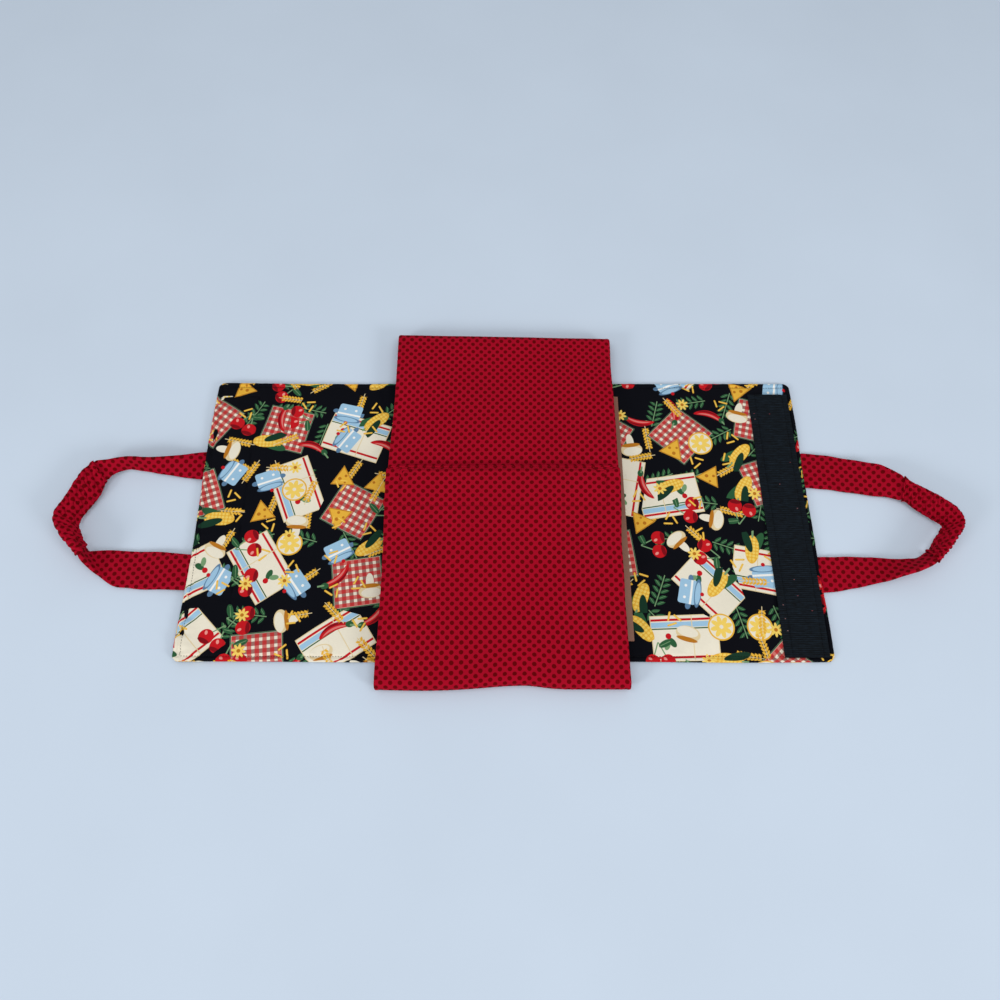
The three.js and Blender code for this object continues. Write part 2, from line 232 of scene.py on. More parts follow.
def plug(socket, value):
    if isinstance(value, Wire):
        socket.id_data.links.new(value.socket, socket)
    else:
        socket.default_value = value


def node(tree, kind, wires=None, **settings):
    made = tree.nodes.new("ShaderNode" + kind)
    for name, value in settings.items():
        setattr(made, name, value)
    for name, value in (wires or {}).items():
        plug(made.inputs[name], value)
    return made


def calc(operation, *values, clamp=False):
    # on points as soon as one of the values is a point, otherwise on numbers
    wires = [value for value in values if isinstance(value, Wire)]
    if any(wire.socket.type == "VECTOR" for wire in wires):
        made = node(treeOf(*wires), "VectorMath", dict(enumerate(values)), operation=operation)
        return Wire(made.outputs["Value" if operation == "LENGTH" else "Vector"])
    made = node(treeOf(*wires), "Math", dict(enumerate(values)), operation=operation, use_clamp=clamp)
    return Wire(made.outputs[0])


def parts(point):
    return [Wire(out) for out in node(treeOf(point), "SeparateXYZ", {0: point}).outputs]


def joined(x, y):
    return Wire(node(treeOf(x), "CombineXYZ", {"X": x, "Y": y}).outputs[0])


def turned(point, angle):
    made = node(treeOf(point), "VectorRotate", {"Vector": point, "Angle": angle}, rotation_type="Z_AXIS")
    return Wire(made.outputs[0])


def mixed(factor, below, above, way="MIX"):
    made = node(treeOf(factor, below, above), "Mix", data_type="RGBA", blend_type=way)
    for place, value in ((0, factor), (6, below), (7, above)):
        plug(made.inputs[place], value)
    return Wire(made.outputs[2])


def noise(point, scale, detail=2, rough=0.5):
    wires = {"Vector": point, "Scale": scale, "Detail": detail, "Roughness": rough}
    return Wire(node(treeOf(point), "TexNoise", wires).outputs["Fac"])


def spread(value, low, high, toLow, toHigh):
    wires = {"Value": value, "From Min": low, "From Max": high, "To Min": toLow, "To Max": toHigh}
    return Wire(node(treeOf(value), "MapRange", wires).outputs[0])


def strewn(point, cell, loose=1.0):
    # random cells over the cloth: the way from each one's middle, and its three random numbers
    cells = node(treeOf(point), "TexVoronoi", {"Vector": point, "Scale": 1 / cell, "Randomness": loose},
                 voronoi_dimensions="2D")
    lots = node(treeOf(point), "SeparateColor", {0: Wire(cells.outputs["Color"])})
    return point - Wire(cells.outputs["Position"]), [Wire(out) for out in lots.outputs]


def group(name, takes, gives):
    tree = bpy.data.node_groups.new(name, "ShaderNodeTree")
    for sockets, way in ((takes, "INPUT"), (gives, "OUTPUT")):
        for label, kind in sockets.items():
            tree.interface.new_socket(label, in_out=way, socket_type="NodeSocket" + kind)
    given = tree.nodes.new("NodeGroupInput").outputs
    return tree, [Wire(given[label]) for label in takes]


def give(tree, **values):
    out = tree.nodes.new("NodeGroupOutput")
    for label, value in values.items():
        plug(out.inputs[label], value)


def use(name, **values):
    made = node(treeOf(*values.values()), "Group", values, node_tree=bpy.data.node_groups[name])
    return {out.name: Wire(out) for out in made.outputs}


# Plain weave: over and under threads at a pitch in millimetres, with slubs and faint fading
def weaveGroup():
    tree, (point, pitch) = group(
        "weave", {"Point": "Vector", "Pitch": "Float"}, {"Height": "Float", "Shade": "Float"})
    x, y, _ = parts(point / pitch + noise(point, 0.35, 3) * 0.8)
    across, along = calc("SINE", x * math.pi), calc("SINE", y * math.pi)
    height = (abs(across) + abs(along)) * 0.3 + across * along * 0.4
    slub = noise(point * (0.25, 3.0, 1.0), 1.0)
    fade = noise(point, 0.012, 3)
    # Shade is partly painted shade: the dips between threads darker and their crowns lighter, over the
    # yarn's own slubs and fading
    give(tree, Height=height + slub * 0.5, Shade=height * 0.12 + slub * 0.14 + fade * 0.18)


# Round dots in a quincunx, by the cloth's own millimetres
def dotGroup():
    tree, (point, cell, radius) = group(
        "dots", {"Point": "Vector", "Cell": "Float", "Radius": "Float"}, {"Mask": "Float"})
    wandered = point + noise(point, 0.05) * 1.6
    rings = []
    for shift in (0, 0.5):
        inCell = calc("FRACTION", wandered / cell + (shift, shift, 0)) - (0.5, 0.5, 0)
        rings.append(calc("LENGTH", inCell * (1, 1, 0)) * cell)
    ragged = noise(point, 1.4) * 0.5
    inside = radius + ragged - calc("MINIMUM", *rings)
    give(tree, Mask=calc("MULTIPLY_ADD", inside, 2.2, -0.1, clamp=True))


weaveGroup()
dotGroup()

# Motifs of the kitchen print. Each layer is a shape, its place and size in millimetres and
# its ink. around repeats it about the middle, rows repeats it along Y as pitch and reach,
# pair mirrors it, bend curves it, outline draws only its edge, thin lets the cloth through.
inks = {
    "night": ink(9, 10, 17),
    "cream": ink(236, 228, 208),
    "straw": ink(226, 205, 160),
    "gold": ink(232, 178, 62),
    "lemon": ink(244, 208, 100),
    "amber": ink(186, 118, 34),
    "red": ink(196, 24, 32),
    "wine": ink(128, 14, 24),
    "blush": ink(236, 150, 140),
    "leaf": ink(46, 92, 58),
    "pine": ink(24, 56, 40),
    "mint": ink(120, 156, 112),
    "sky": ink(158, 196, 222),
    "slate": ink(92, 126, 158),
    "white": ink(246, 244, 238),
}


def layer(shape, size, colour, at=(0, 0), turn=0, **ways):
    return {"shape": shape, "size": size, "ink": colour, "at": at, "turn": turn, **ways}


motifs = {
    "towel": [
        layer("box", (37, 26), "cream"),
        layer("box", (37, 1.3), "red", at=(0, 21)),
        layer("box", (37, 3.0), "sky", at=(0, 15.5)),
        layer("box", (37, 0.7), "leaf", at=(0, 11)),
        layer("box", (37, 1.3), "red", at=(0, -20)),
        layer("box", (36.6, 25.6), "straw", outline=0.5),
        layer("box", (0.5, 26), "straw", at=(9, 0)),
        layer("oval", (3.4, 6.0), "leaf", at=(-14, -4), turn=0.6),
        layer("oval", (3.0, 5.4), "mint", at=(-20, -7), turn=-0.5),
        layer("disc", (3.2, 0), "red", at=(-18, 3)),
    ],
    "gingham": [
        layer("box", (29, 29), "cream"),
        layer("box", (28, 2.4), "wine", rows=(8.4, 29), within=27, thin=0.8),
        layer("box", (28, 2.4), "red", turn=math.pi / 2, rows=(8.4, 29), within=27, thin=0.8),
        layer("box", (28.4, 28.4), "leaf", outline=0.6),
    ],
    "lemon": [
        layer("disc", (15, 0), "gold"),
        layer("disc", (13.2, 0), "cream"),
        layer("oval", (5.2, 2.6), "lemon", at=(7.2, 0), around=8),
        layer("disc", (1.3, 0), "cream"),
    ],
    "cherries": [
        layer("bar", (0.7, 20), "mint", at=(-4.5, 4), turn=-0.42),
        layer("bar", (0.7, 20), "mint", at=(4.5, 4), turn=0.42),
        layer("oval", (8.5, 3.6), "leaf", at=(8.5, 12), turn=0.35),
        layer("bar", (0.35, 13), "mint", at=(8.5, 12), turn=-1.22),
        layer("disc", (8.4, 0), "red", at=(-8.6, -7)),
        layer("disc", (8.4, 0), "red", at=(8.6, -8)),
        layer("oval", (6.8, 2.4), "wine", at=(-8.2, -12), turn=0.15),
        layer("oval", (6.8, 2.4), "wine", at=(9.0, -13), turn=0.15),
        layer("oval", (1.6, 2.4), "blush", at=(-11.4, -3.6), turn=0.6),
        layer("oval", (1.6, 2.4), "blush", at=(5.8, -4.6), turn=0.6),
    ],
    "corn": [
        layer("oval", (5.4, 16), "leaf", at=(-6, -8), turn=-0.35),
        layer("oval", (8.2, 18), "gold"),
        layer("disc", (1.7, 0), "lemon", at=(2.1, 0), rows=(4.2, 16), pair=True),
        layer("disc", (1.5, 0), "lemon", at=(6.0, 0), rows=(4.2, 11), pair=True),
        layer("oval", (4.6, 15), "pine", at=(6, -10), turn=0.35),
        layer("bar", (1.2, 8), "mint", at=(0, -20)),
    ],
    "mushroom": [
        layer("oval", (4.6, 10), "cream", at=(0, -7)),
        layer("oval", (13.5, 8.6), "straw", at=(0, 4)),
        layer("oval", (11.6, 2.6), "amber", at=(0, -2.2)),
        layer("oval", (11.6, 5.6), "cream", at=(-1, 6)),
    ],
    "cheese": [
        layer("edge", (8.6, 0), "gold", around=3),
        layer("edge", (7.9, 0), "amber", around=3, outline=0.45),
        layer("disc", (2.2, 0), "amber", at=(3.2, 2.6)),
        layer("disc", (1.5, 0), "amber", at=(-4.8, 3.2)),
        layer("disc", (1.8, 0), "amber", at=(-1.2, -4.6)),
    ],
    "pot": [
        layer("oval", (4.2, 3.0), "slate", at=(16.5, -1), pair=True),
        layer("box", (14.5, 10), "sky", at=(0, -3), soft=3.0),
        layer("box", (14.5, 1.2), "white", at=(0, 1)),
        layer("oval", (15, 3.6), "sky", at=(0, 8.5)),
        layer("oval", (15, 3.6), "slate", at=(0, 8.5), outline=0.45),
        layer("disc", (2.3, 0), "red", at=(0, 13.5)),
        layer("disc", (1.6, 0), "white", at=(7, -6), pair=True),
    ],
    "chilli": [
        layer("oval", (19, 4.4), "red", bend=0.016),
        layer("oval", (15, 1.2), "blush", at=(-1, 1.6), bend=0.016, thin=0.6),
        layer("oval", (14, 1.2), "wine", at=(1, -2.4), bend=0.016),
        layer("oval", (4.6, 3.6), "leaf", at=(-17.2, 4.4), turn=-0.5),
        layer("bar", (1.0, 7), "mint", at=(-21, 7.6), turn=1.0),
    ],
    "sprig": [
        layer("bar", (0.55, 38), "mint"),
        layer("oval", (5.6, 2.1), "leaf", at=(5.4, 1.5), turn=0.7, rows=(7.4, 17), pair=True),
        layer("bar", (0.22, 7), "mint", at=(5.2, 1.4), turn=-0.87, rows=(7.4, 17), pair=True),
    ],
    "wheat": [
        layer("bar", (0.45, 36), "straw"),
        layer("oval", (3.0, 1.35), "gold", at=(2.3, 0), turn=0.95, rows=(3.9, 14), pair=True),
    ],
    "daisy": [
        layer("oval", (3.5, 1.5), "lemon", at=(4.6, 0), around=8),
        layer("disc", (2.1, 0), "amber"),
    ],
    "grains": [
        layer("bar", (1.1, 9), "gold", at=(5.5, 0), turn=0.5, around=3),
        layer("bar", (0.4, 8), "lemon", at=(5.3, 0.3), turn=0.5, around=3),
    ],
}


def shapeDistance(point, spec):
    # distance in millimetres from the layer's edge, negative inside
    width, height = spec["size"]
    rows, pair, turn = spec.get("rows"), spec.get("pair"), spec["turn"]
    rowsTurn = rows and not pair  # such rows are turned as a whole, other shapes one by one
    if spec.get("around"):
        x, y, _ = parts(point)
        half = math.pi / spec["around"]
        angle = calc("WRAP", calc("ARCTAN2", y, x), half, -half)
        away = calc("LENGTH", point)
        point = joined(away * calc("COSINE", angle), away * calc("SINE", angle))
    if turn and rowsTurn:
        point = turned(point, -turn)
    whole = point
    if pair:
        point = abs(point) * (1, 0, 0) + whole * (0, 1, 0)
    if rows:
        point = calc("WRAP", point, (500, rows[0] / 2, 1), (-500, -rows[0] / 2, -1))
    if spec.get("bend"):
        x, y, _ = parts(point)
        point = joined(x, y - calc("POWER", abs(x), 2) * spec["bend"])
    point = point - (*spec["at"], 0)
    if turn and not rowsTurn:
        point = turned(point, -turn)
    if spec["shape"] == "disc":
        distance = calc("LENGTH", point) - width
    elif spec["shape"] == "oval":
        distance = (calc("LENGTH", point / (width, height, 1)) - 1) * min(width, height)
    elif spec["shape"] == "edge":
        distance = parts(point)[0] - width
    else:
        # a bar is a line with a round end, a box has square or soft corners
        corner = width if spec["shape"] == "bar" else spec.get("soft", 0)
        core = (0, height / 2) if spec["shape"] == "bar" else (width - corner, height - corner)
        beyond = abs(point) - (*core, 0)
        if corner:
            distance = calc("LENGTH", calc("MAXIMUM", beyond, (0, 0, 0))) - corner
        else:
            distance = calc("MAXIMUM", *parts(beyond)[:2])
    if spec.get("outline"):
        distance = abs(distance) - spec["outline"]
    if rows:
        # the repeat ends at its reach
        x, y, _ = parts(abs(whole))
        distance = calc("MAXIMUM", distance, y - rows[1])
        if spec.get("within"):
            distance = calc("MAXIMUM", distance, x - spec["within"])
    return distance


for motif, layers in motifs.items():
    tree, (point, colour, on) = group(
        "motif " + motif, {"Point": "Vector", "Below": "Color", "On": "Float"}, {"Color": "Color"})
    for spec in layers:
        mask = calc("MULTIPLY_ADD", shapeDistance(point, spec), -3.0, 0.5, clamp=True)
        colour = mixed(mask * (on * spec.get("thin", 1)), colour, inks[spec["ink"]])
    give(tree, Color=colour)

# Which motifs are strewn together, over how wide a cell, and how freely: under ones first
scatter = [
    {"names": ["sprig", "wheat", "sprig"], "cell": 46, "loose": 0.55, "shift": (13, 7)},
    {"names": ["towel", "gingham", "towel"], "cell": 98, "loose": 0.45, "shift": (0, 0)},
    {"names": ["cherries", "lemon", "corn", "mushroom", "cheese", "pot", "chilli", "cherries"],
     "cell": 45, "loose": 0.6, "shift": (31, 17)},
    {"names": ["daisy", "grains", "grains", "wheat"], "cell": 40, "loose": 0.8, "shift": (57, 71),
     "kept": 0.62},
]


def printGroup():
    tree, (cloth,) = group("kitchen print", {"Point": "Vector"}, {"Color": "Color"})
    colour = inks["night"]
    for spec in scatter:
        away, (red, green, blue) = strewn(cloth + (*spec["shift"], 0), spec["cell"], spec["loose"])
        local = turned(away * (1, 1, 0), green * (2 * math.pi))
        kept = calc("LESS_THAN", blue, spec.get("kept", 1.1))
        share = 1 / len(spec["names"])
        for name in sorted(set(spec["names"])):
            near = [calc("COMPARE", red, (place + 0.5) * share, 0.5 * share)
                    for place, other in enumerate(spec["names"]) if other == name]
            on = near[0] if len(near) == 1 else calc("MAXIMUM", *near)
            colour = use("motif " + name, Point=local, Below=colour, On=on * kept)["Color"]
    give(tree, Color=colour)


printGroup()
print("shader groups made")


# Materials

def newMaterial(name, roughness, **plain):
    material = bpy.data.materials.new(name)
    material.use_nodes = True
    shader = material.node_tree.nodes["Principled BSDF"]
    shader.inputs["Roughness"].default_value = roughness
    for label, value in plain.items():
        shader.inputs[label.replace("_", " ")].default_value = value
    return material, shader


def clothPoint(shader):
    # the cloth's own millimetres, from its UV map
    return Wire(node(shader.id_data, "UVMap", uv_map="cloth").outputs[0]) * (1000, 1000, 0)


def solidPoint(shader):
    return Wire(node(shader.id_data, "TexCoord").outputs["Object"]) * (1000, 1000, 1000)


def emboss(shader, height, distance, strength):
    wires = {"Strength": strength, "Distance": distance, "Height": height}
    plug(shader.inputs["Normal"], Wire(node(shader.id_data, "Bump", wires).outputs[0]))


def clothMaterial(name, colourOf, roughness):
    material, shader = newMaterial(name, roughness, Sheen_Roughness=0.5, Specular_IOR_Level=0.06)
    point = clothPoint(shader)
    weave = use("weave", Point=point, Pitch=0.42)
    # the base colour is multiplied by the weave's Shade: painted shade between the threads, and the
    # yarn's own slubs and fading
    shade = spread(weave["Shade"], 0.1, 0.42, 0.82, 1.12)
    yarnToneAndShade = Wire(node(shader.id_data, "CombineColor", {0: shade, 1: shade, 2: shade}).outputs[0])
    plug(shader.inputs["Base Color"], mixed(1.0, colourOf(point), yarnToneAndShade, "MULTIPLY"))
    rough = spread(weave["Height"], 0, 1, roughness - 0.06, roughness + 0.06)
    plug(shader.inputs["Roughness"], rough)
    emboss(shader, weave["Height"], 0.12 * mm, 0.5)
    return material


dots = {"cell": 10.75, "radius": 2.5, "ground": ink(164, 6, 34), "dot": ink(100, 0, 4)}


def dottedRed(point):
    mask = use("dots", Point=point, Cell=dots["cell"], Radius=dots["radius"])["Mask"]
    return mixed(mask, dots["ground"], dots["dot"])


def kitchenPrint(point):
    return use("kitchen print", Point=point)["Color"]


redCloth = clothMaterial("red dotted cotton", dottedRed, 0.85)
printCloth = clothMaterial("kitchen print cotton", kitchenPrint, 0.82)
ribPitch = 2.4
lint = {"cell": 17, "radius": 0.75, "bare": 0.72, "red": ink(140, 30, 40), "grey": ink(150, 120, 118)}


def tapeMaterial(name, colour, grain):
    # woven tape: a pile of hooks or loops over a black ground, with lint caught in it
    material, shader = newMaterial(name, 0.85, Specular_IOR_Level=0.12)
    point = clothPoint(shader)
    pile = noise(point, grain, 4, 0.7)
    # the ribs run across the tape, and wander and break up a little; their crowns are painted lighter and
    # the grooves between them darker, as painted shade, and they also make the bump
    climb = noise(point * (0.12, 0.5, 1), 1.0) * 1.5 + parts(point)[1]
    ribs = abs(calc("SINE", climb * (math.pi / ribPitch))) * noise(point * (0.25, 0.9, 1), 1.0, 3)
    streak = noise(point * (0.09, 0.45, 1), 1.0, 3, 0.6)
    # the tone is the pile, drift and streaks of the tape's own colour, plus the ribs' painted shade
    shade = pile * 0.5 + noise(point, 0.03, 3) * 0.3 + (ribs * 1.3 - 0.55)
    shade = calc("ADD", shade, streak * 1.6 - 0.8, clamp=True)
    ground = mixed(shade, toned(colour, 0.25), toned(colour, 1.7))
    away, (red, green, _) = strewn(point, lint["cell"])
    speck = calc("LESS_THAN", calc("LENGTH", away * (1, 2.2, 0)), lint["radius"])
    speck = speck * calc("GREATER_THAN", red, lint["bare"])
    caught = mixed(green, lint["red"], lint["grey"])
    plug(shader.inputs["Base Color"], mixed(speck, ground, caught))
    plug(shader.inputs["Roughness"], spread(pile, 0, 1, 0.7, 0.95))
    emboss(shader, ribs * 1.5 + pile, 0.3 * mm, 0.8)
    return material


hookTape = tapeMaterial("hook tape", ink(14, 23, 31), 1.6)
loopTape = tapeMaterial("loop tape", ink(13, 20, 27), 2.6)


def boardMaterial():
    material, shader = newMaterial("hardboard", 0.62, Specular_IOR_Level=0.4)
    point = solidPoint(shader)
    fibre = noise(point * (1, 1, 6), 0.7, 5, 0.65)
    shade = fibre * 0.6 + noise(point, 0.04, 3) * 0.4
    plug(shader.inputs["Base Color"], mixed(shade, ink(96, 60, 46), ink(150, 104, 84)))
    plug(shader.inputs["Roughness"], spread(fibre, 0, 1, 0.5, 0.75))
    emboss(shader, fibre, 0.2 * mm, 0.5)
    return material


hardboard = boardMaterial()


def threadMaterial(name, colour):
    material, shader = newMaterial(name, 0.7, Specular_IOR_Level=0.1)
    twist = noise(solidPoint(shader) * (3, 3, 3), 1.5)
    plug(shader.inputs["Base Color"], mixed(twist, toned(colour, 0.6), toned(colour, 1.3)))
    plug(shader.inputs["Roughness"], spread(twist, 0, 1, 0.5, 0.7))
    emboss(shader, twist, 0.05 * mm, 0.6)
    return material


blackThread = threadMaterial("black thread", ink(13, 14, 18))
redThread = threadMaterial("red thread", ink(134, 6, 26))


def wear(piece, material, degrees):
    piece.data.materials.clear()
    piece.data.materials.append(material)
    smooth(piece, degrees)


print("materials made")


# Quilted panels: a flat slab of even squares, puffed up by simulation between its seams

def gridLines(low, high, cell, marks=(), near=2.5 * mm):
    # even lines from low to high, with three close together along each mark
    fixed = [low, high]
    for mark in marks:
        fixed += [place for place in (mark - near, mark, mark + near) if low + mm < place < high - mm]
    fixed = sorted(fixed)
    fixed = [fixed[0]] + [b for a, b in zip(fixed, fixed[1:]) if b - a > 0.8 * mm]
    lines = []
    for a, b in zip(fixed, fixed[1:]):
        lines += list(np.linspace(a, b, max(1, round((b - a) / cell)) + 1)[:-1])
    return np.array(lines + [high])


def quiltBlank(name, columns, rows, thickness):
    piece = begin(name, bpy.ops.mesh.primitive_grid_add, size=1,
                  x_subdivisions=len(columns) - 1, y_subdivisions=len(rows) - 1)
    bpy.ops.mesh.extrude_region_move(TRANSFORM_OT_translate={"value": (0, 0, thickness)})
    bpy.ops.mesh.select_all(action="SELECT")
    bpy.ops.transform.translate(value=(0, 0, -thickness / 2))
    bpy.ops.mesh.normals_make_consistent(inside=False)
    leave()
    spots = places(piece)
    for axis, lines in enumerate((columns, rows)):
        spots[:, axis] = lines[((spots[:, axis] + 0.5) * (len(lines) - 1)).round().astype(int)]
    setPlaces(piece, spots)
    return piece


def roundCorners(piece, low, high, radius):
    # the grid's square corners are drawn in to quarter circles
    spots = places(piece)
    for side in ((-1, -1), (-1, 1), (1, -1), (1, 1)):
        side = np.array(side, float)
        centre = np.where(side > 0, high, low) - side * radius
        out = (spots[:, :2] - centre) * side
        inside = (out > 0).all(axis=1)
        away = np.maximum(np.hypot(out[:, 0], out[:, 1]), 1e-9)
        drawn = centre + out * (out.max(axis=1) / away)[:, None] * side
        spots[:, :2] = np.where(inside[:, None], drawn, spots[:, :2])
    setPlaces(piece, spots)


def onFrame(spots, low, high, near=0.4 * mm):
    # the points on the outline of a rectangle
    x, y = spots[:, 0], spots[:, 1]
    inX = (x > low[0] - near) & (x < high[0] + near)
    inY = (y > low[1] - near) & (y < high[1] + near)
    onX = (np.abs(x - low[0]) < near) | (np.abs(x - high[0]) < near)
    onY = (np.abs(y - low[1]) < near) | (np.abs(y - high[1]) < near)
    return (onX & inY) | (onY & inX)


def puffUp(piece, pinned, cap, pressure, growth):
    start = places(piece)
    held = piece.vertex_groups.new(name="seams")
    held.add([int(i) for i in np.flatnonzero(pinned)], 1, "REPLACE")
    pick(piece)
    modifier = piece.modifiers.new("Cloth", "CLOTH")
    cloth = modifier.settings
    cloth.quality = 5
    cloth.mass = 0.3
    cloth.tension_stiffness = cloth.compression_stiffness = 15
    cloth.bending_stiffness = 0.5
    cloth.use_pressure = True
    cloth.uniform_pressure_force = pressure
    cloth.effector_weights.gravity = 0
    cloth.vertex_group_mass = "seams"
    cloth.shrink_min = cloth.shrink_max = -growth
    modifier.point_cache.frame_end = 20
    for moment in range(1, 21):
        bpy.context.scene.frame_set(moment)
    bpy.ops.object.modifier_apply(modifier=modifier.name)
    bpy.context.scene.frame_set(1)
    piece.vertex_groups.clear()
    moved = places(piece) - start
    far = np.linalg.norm(moved, axis=1)[:, None]
    setPlaces(piece, start + moved * np.minimum(1, cap / np.maximum(far, 1e-9)))


def mapCloth(piece, low, high, under):
    # UVs in metres of cloth: flat on each face, running on over the rim
    spots = places(piece)
    gaps = np.stack([spots[:, 0] - low[0], high[0] - spots[:, 0],
                     spots[:, 1] - low[1], high[1] - spots[:, 1]], axis=1)
    sides = np.array([[-1, 0], [1, 0], [0, -1], [0, 1]], float)[gaps.argmin(axis=1)]
    rim = gaps.min(axis=1) < 2.5 * mm
    drop = np.where(rim, spots[:, 2].max() - spots[:, 2], 0)
    over = spots[:, :2] + sides * drop[:, None]
    below = spots[:, :2] + np.array(under)
    corners = read(piece.data.loops, "vertex_index", kind=np.int32)
    setClothUvs(piece, np.where(facesDown(piece.data)[:, None], below[corners], over[corners]))


@shaping
def sewDown(x, y, z, seams, depth, pucker, seed, width=1.3 * mm):
    # each seam, a line from one point to another, presses a valley with puckers beside it
    flat = np.stack([x, y], axis=1)
    side = np.where(z > (z.max() + z.min()) / 2, 1.0, -1.0)
    lift, valley = np.zeros(len(x)), np.zeros(len(x))
    for number, (start, end) in enumerate(seams):
        start, end = np.array(start, float), np.array(end, float)
        length = np.linalg.norm(end - start)
        along = (end - start) / length
        run = (flat - start) @ along
        off = (flat - start) - np.clip(run, 0, length)[:, None] * along
        away = np.hypot(off[:, 0], off[:, 1])
        valley = np.maximum(valley, bump(away / width))
        ruffle = waves(run, away * 0.25, (9 * mm, 13 * mm, 21 * mm), seed + number)
        ruffle += 0.5 * side * waves(run, run * 0, (11 * mm, 17 * mm), seed + 40 + number)
        lift += ruffle * np.exp(-away / (7 * mm)) * (1 - bump(away / width))
    z += side * (lift * pucker - valley * depth)


def quilt(name, spec, low, high, marks, pinsOf, under):
    # a panel before its seams are pressed in; marks and pins are where they will be
    columns, rows = (gridLines(low[axis], high[axis], spec["cell"], marks[axis]) for axis in (0, 1))
    whole = quiltBlank(name, columns, rows, spec["blankThickness"])
    roundCorners(whole, low, high, spec["cornerRadius"])
    spots = places(whole)
    pinned = np.any([onFrame(spots, *outline) for outline in pinsOf], axis=0)
    puffUp(whole, pinned, spec["puff"], 4, 0.03)
    roundUp(whole, 2)
    mapCloth(whole, low, high, under)
    return whole


def flat(node):
    return [(corner.x, corner.y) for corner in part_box(node)]


def inset(low, high, distance):
    return (low[0] + distance, low[1] + distance), (high[0] - distance, high[1] - distance)


def frameSeams(low, high):
    corners = [(low[0], low[1]), (high[0], low[1]), (high[0], high[1]), (low[0], high[1])]
    return list(zip(corners, corners[1:] + corners[:1]))


# Stitches: one small capsule, copied along a seam on the surface it is sewn through
stitch = {"length": 2.4 * mm, "pitch": 3.1 * mm, "thick": 0.55 * mm, "sides": 6, "rings": 4,
          "inStrip": 2 * mm}


def oneStitch():
    piece = begin("stitch", bpy.ops.mesh.primitive_uv_sphere_add,
                  segments=stitch["sides"], ring_count=stitch["rings"], radius=0.5)
    bpy.ops.transform.resize(value=(stitch["length"], stitch["thick"], stitch["thick"] * 0.8))
    leave()
    shape = places(piece), [tuple(face.vertices) for face in piece.data.polygons]
    bpy.data.objects.remove(piece)
    return shape


stitchShape = oneStitch()


def sew(name, host, seams, thread, fromAbove):
    surface = BVHTree.FromPolygons(
        [tuple(spot) for spot in places(host)], [tuple(face.vertices) for face in host.data.polygons])
    corners, faces = stitchShape
    points, sides = [], []
    down = Vector((0, 0, -1 if fromAbove else 1))
    for start, end in seams:
        start, end = np.array(start, float), np.array(end, float)
        length = np.linalg.norm(end - start)
        along = (end - start) / length
        count = int(length / stitch["pitch"])
        for i in range(count):
            at = start + along * (i + 0.5) * length / count
            hit, normal, _, _ = surface.ray_cast(Vector((*at, 0)) - down * 0.2, down)
            if hit is None or abs(normal.z) < 0.5:
                continue
            run = Vector((*along, 0))
            run = (run - normal * run.dot(normal)).normalized()
            lie = np.array([run, normal.cross(run), normal])
            base = len(points) * len(corners)
            points.append(corners @ lie + np.array(hit) + np.array(normal) * stitch["thick"] * 0.12)
            sides += [tuple(base + corner for corner in face) for face in faces]
    mesh = bpy.data.meshes.new(name)
    mesh.from_pydata(np.concatenate(points).tolist(), [], sides)
    made = bpy.data.objects.new(name, mesh)
    bpy.context.collection.objects.link(made)
    faceOutwards(made)
    wear(made, thread, 60)
    return made


def sewThrough(piece, name, seams, thread):
    return [sew(f"{name}_{label}_stitches", piece, seams, thread, label == "top")
            for label in ("top", "under")]


def cutPiece(whole, name, axis, low, high):
    # a copy of the part between two planes, closed at the cuts
    copy = whole.copy()
    copy.data = whole.data.copy()
    copy.name = copy.data.name = name
    bpy.context.collection.objects.link(copy)
    direction = np.eye(3)[axis]
    for place, above in ((low, True), (high, False)):
        if place is None:
            continue
        edit(copy)
        bpy.ops.mesh.bisect(plane_co=direction * place, plane_no=direction, use_fill=True,
                            clear_inner=above, clear_outer=not above)
        # the cut's one long face is split up, so that it can bend with the cloth
        bpy.ops.mesh.select_all(action="DESELECT")
        bpy.ops.mesh.select_face_by_sides(number=4, type="GREATER")
        bpy.ops.mesh.quads_convert_to_tris(quad_method="BEAUTY", ngon_method="BEAUTY")
        leave()
    return copy


def layersOf(*names):
    return [f"{name}_{cloth}" for name in names for cloth in ("under_cloth", "batting", "over_cloth")]


# The print panel lies flat, from the left lid's end to the right lid's end
leftLid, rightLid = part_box("left_lid_over_cloth"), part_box("right_lid_over_cloth")
foldAt = {joint["name"]: Vector(joint["pos_m"]) for joint in frame["joints"] if joint["type"] == "hinge"}
printPanel = {
    "low": (leftLid[0].x, leftLid[0].y),
    "high": (rightLid[1].x, rightLid[1].y),
    "thickness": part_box("print_base_over_cloth")[1].z,
    "blankThickness": 2.6 * mm,
    "cell": 8 * mm,
    "cornerRadius": 7 * mm,
    "topstitch": 6 * mm,
    "puff": 1.4 * mm,
    "seamDepth": 1.1 * mm,
    "pucker": 0.8 * mm,
    "edgeWave": 1.1 * mm,
    "surfaceWave": 0.6 * mm,
    "highestPuff": 1.2 * mm,
    "bend": 10 * mm,
    "underPrint": (0.137, 0.061),
    # where the left end spreads, from -X on, and the two places: Y, width and how far
    "spread": {"from": (0.3, 0.36), "at": [(-0.175, 0.045, 3.0 * mm), (0.075, 0.05, 2.2 * mm)]},
}


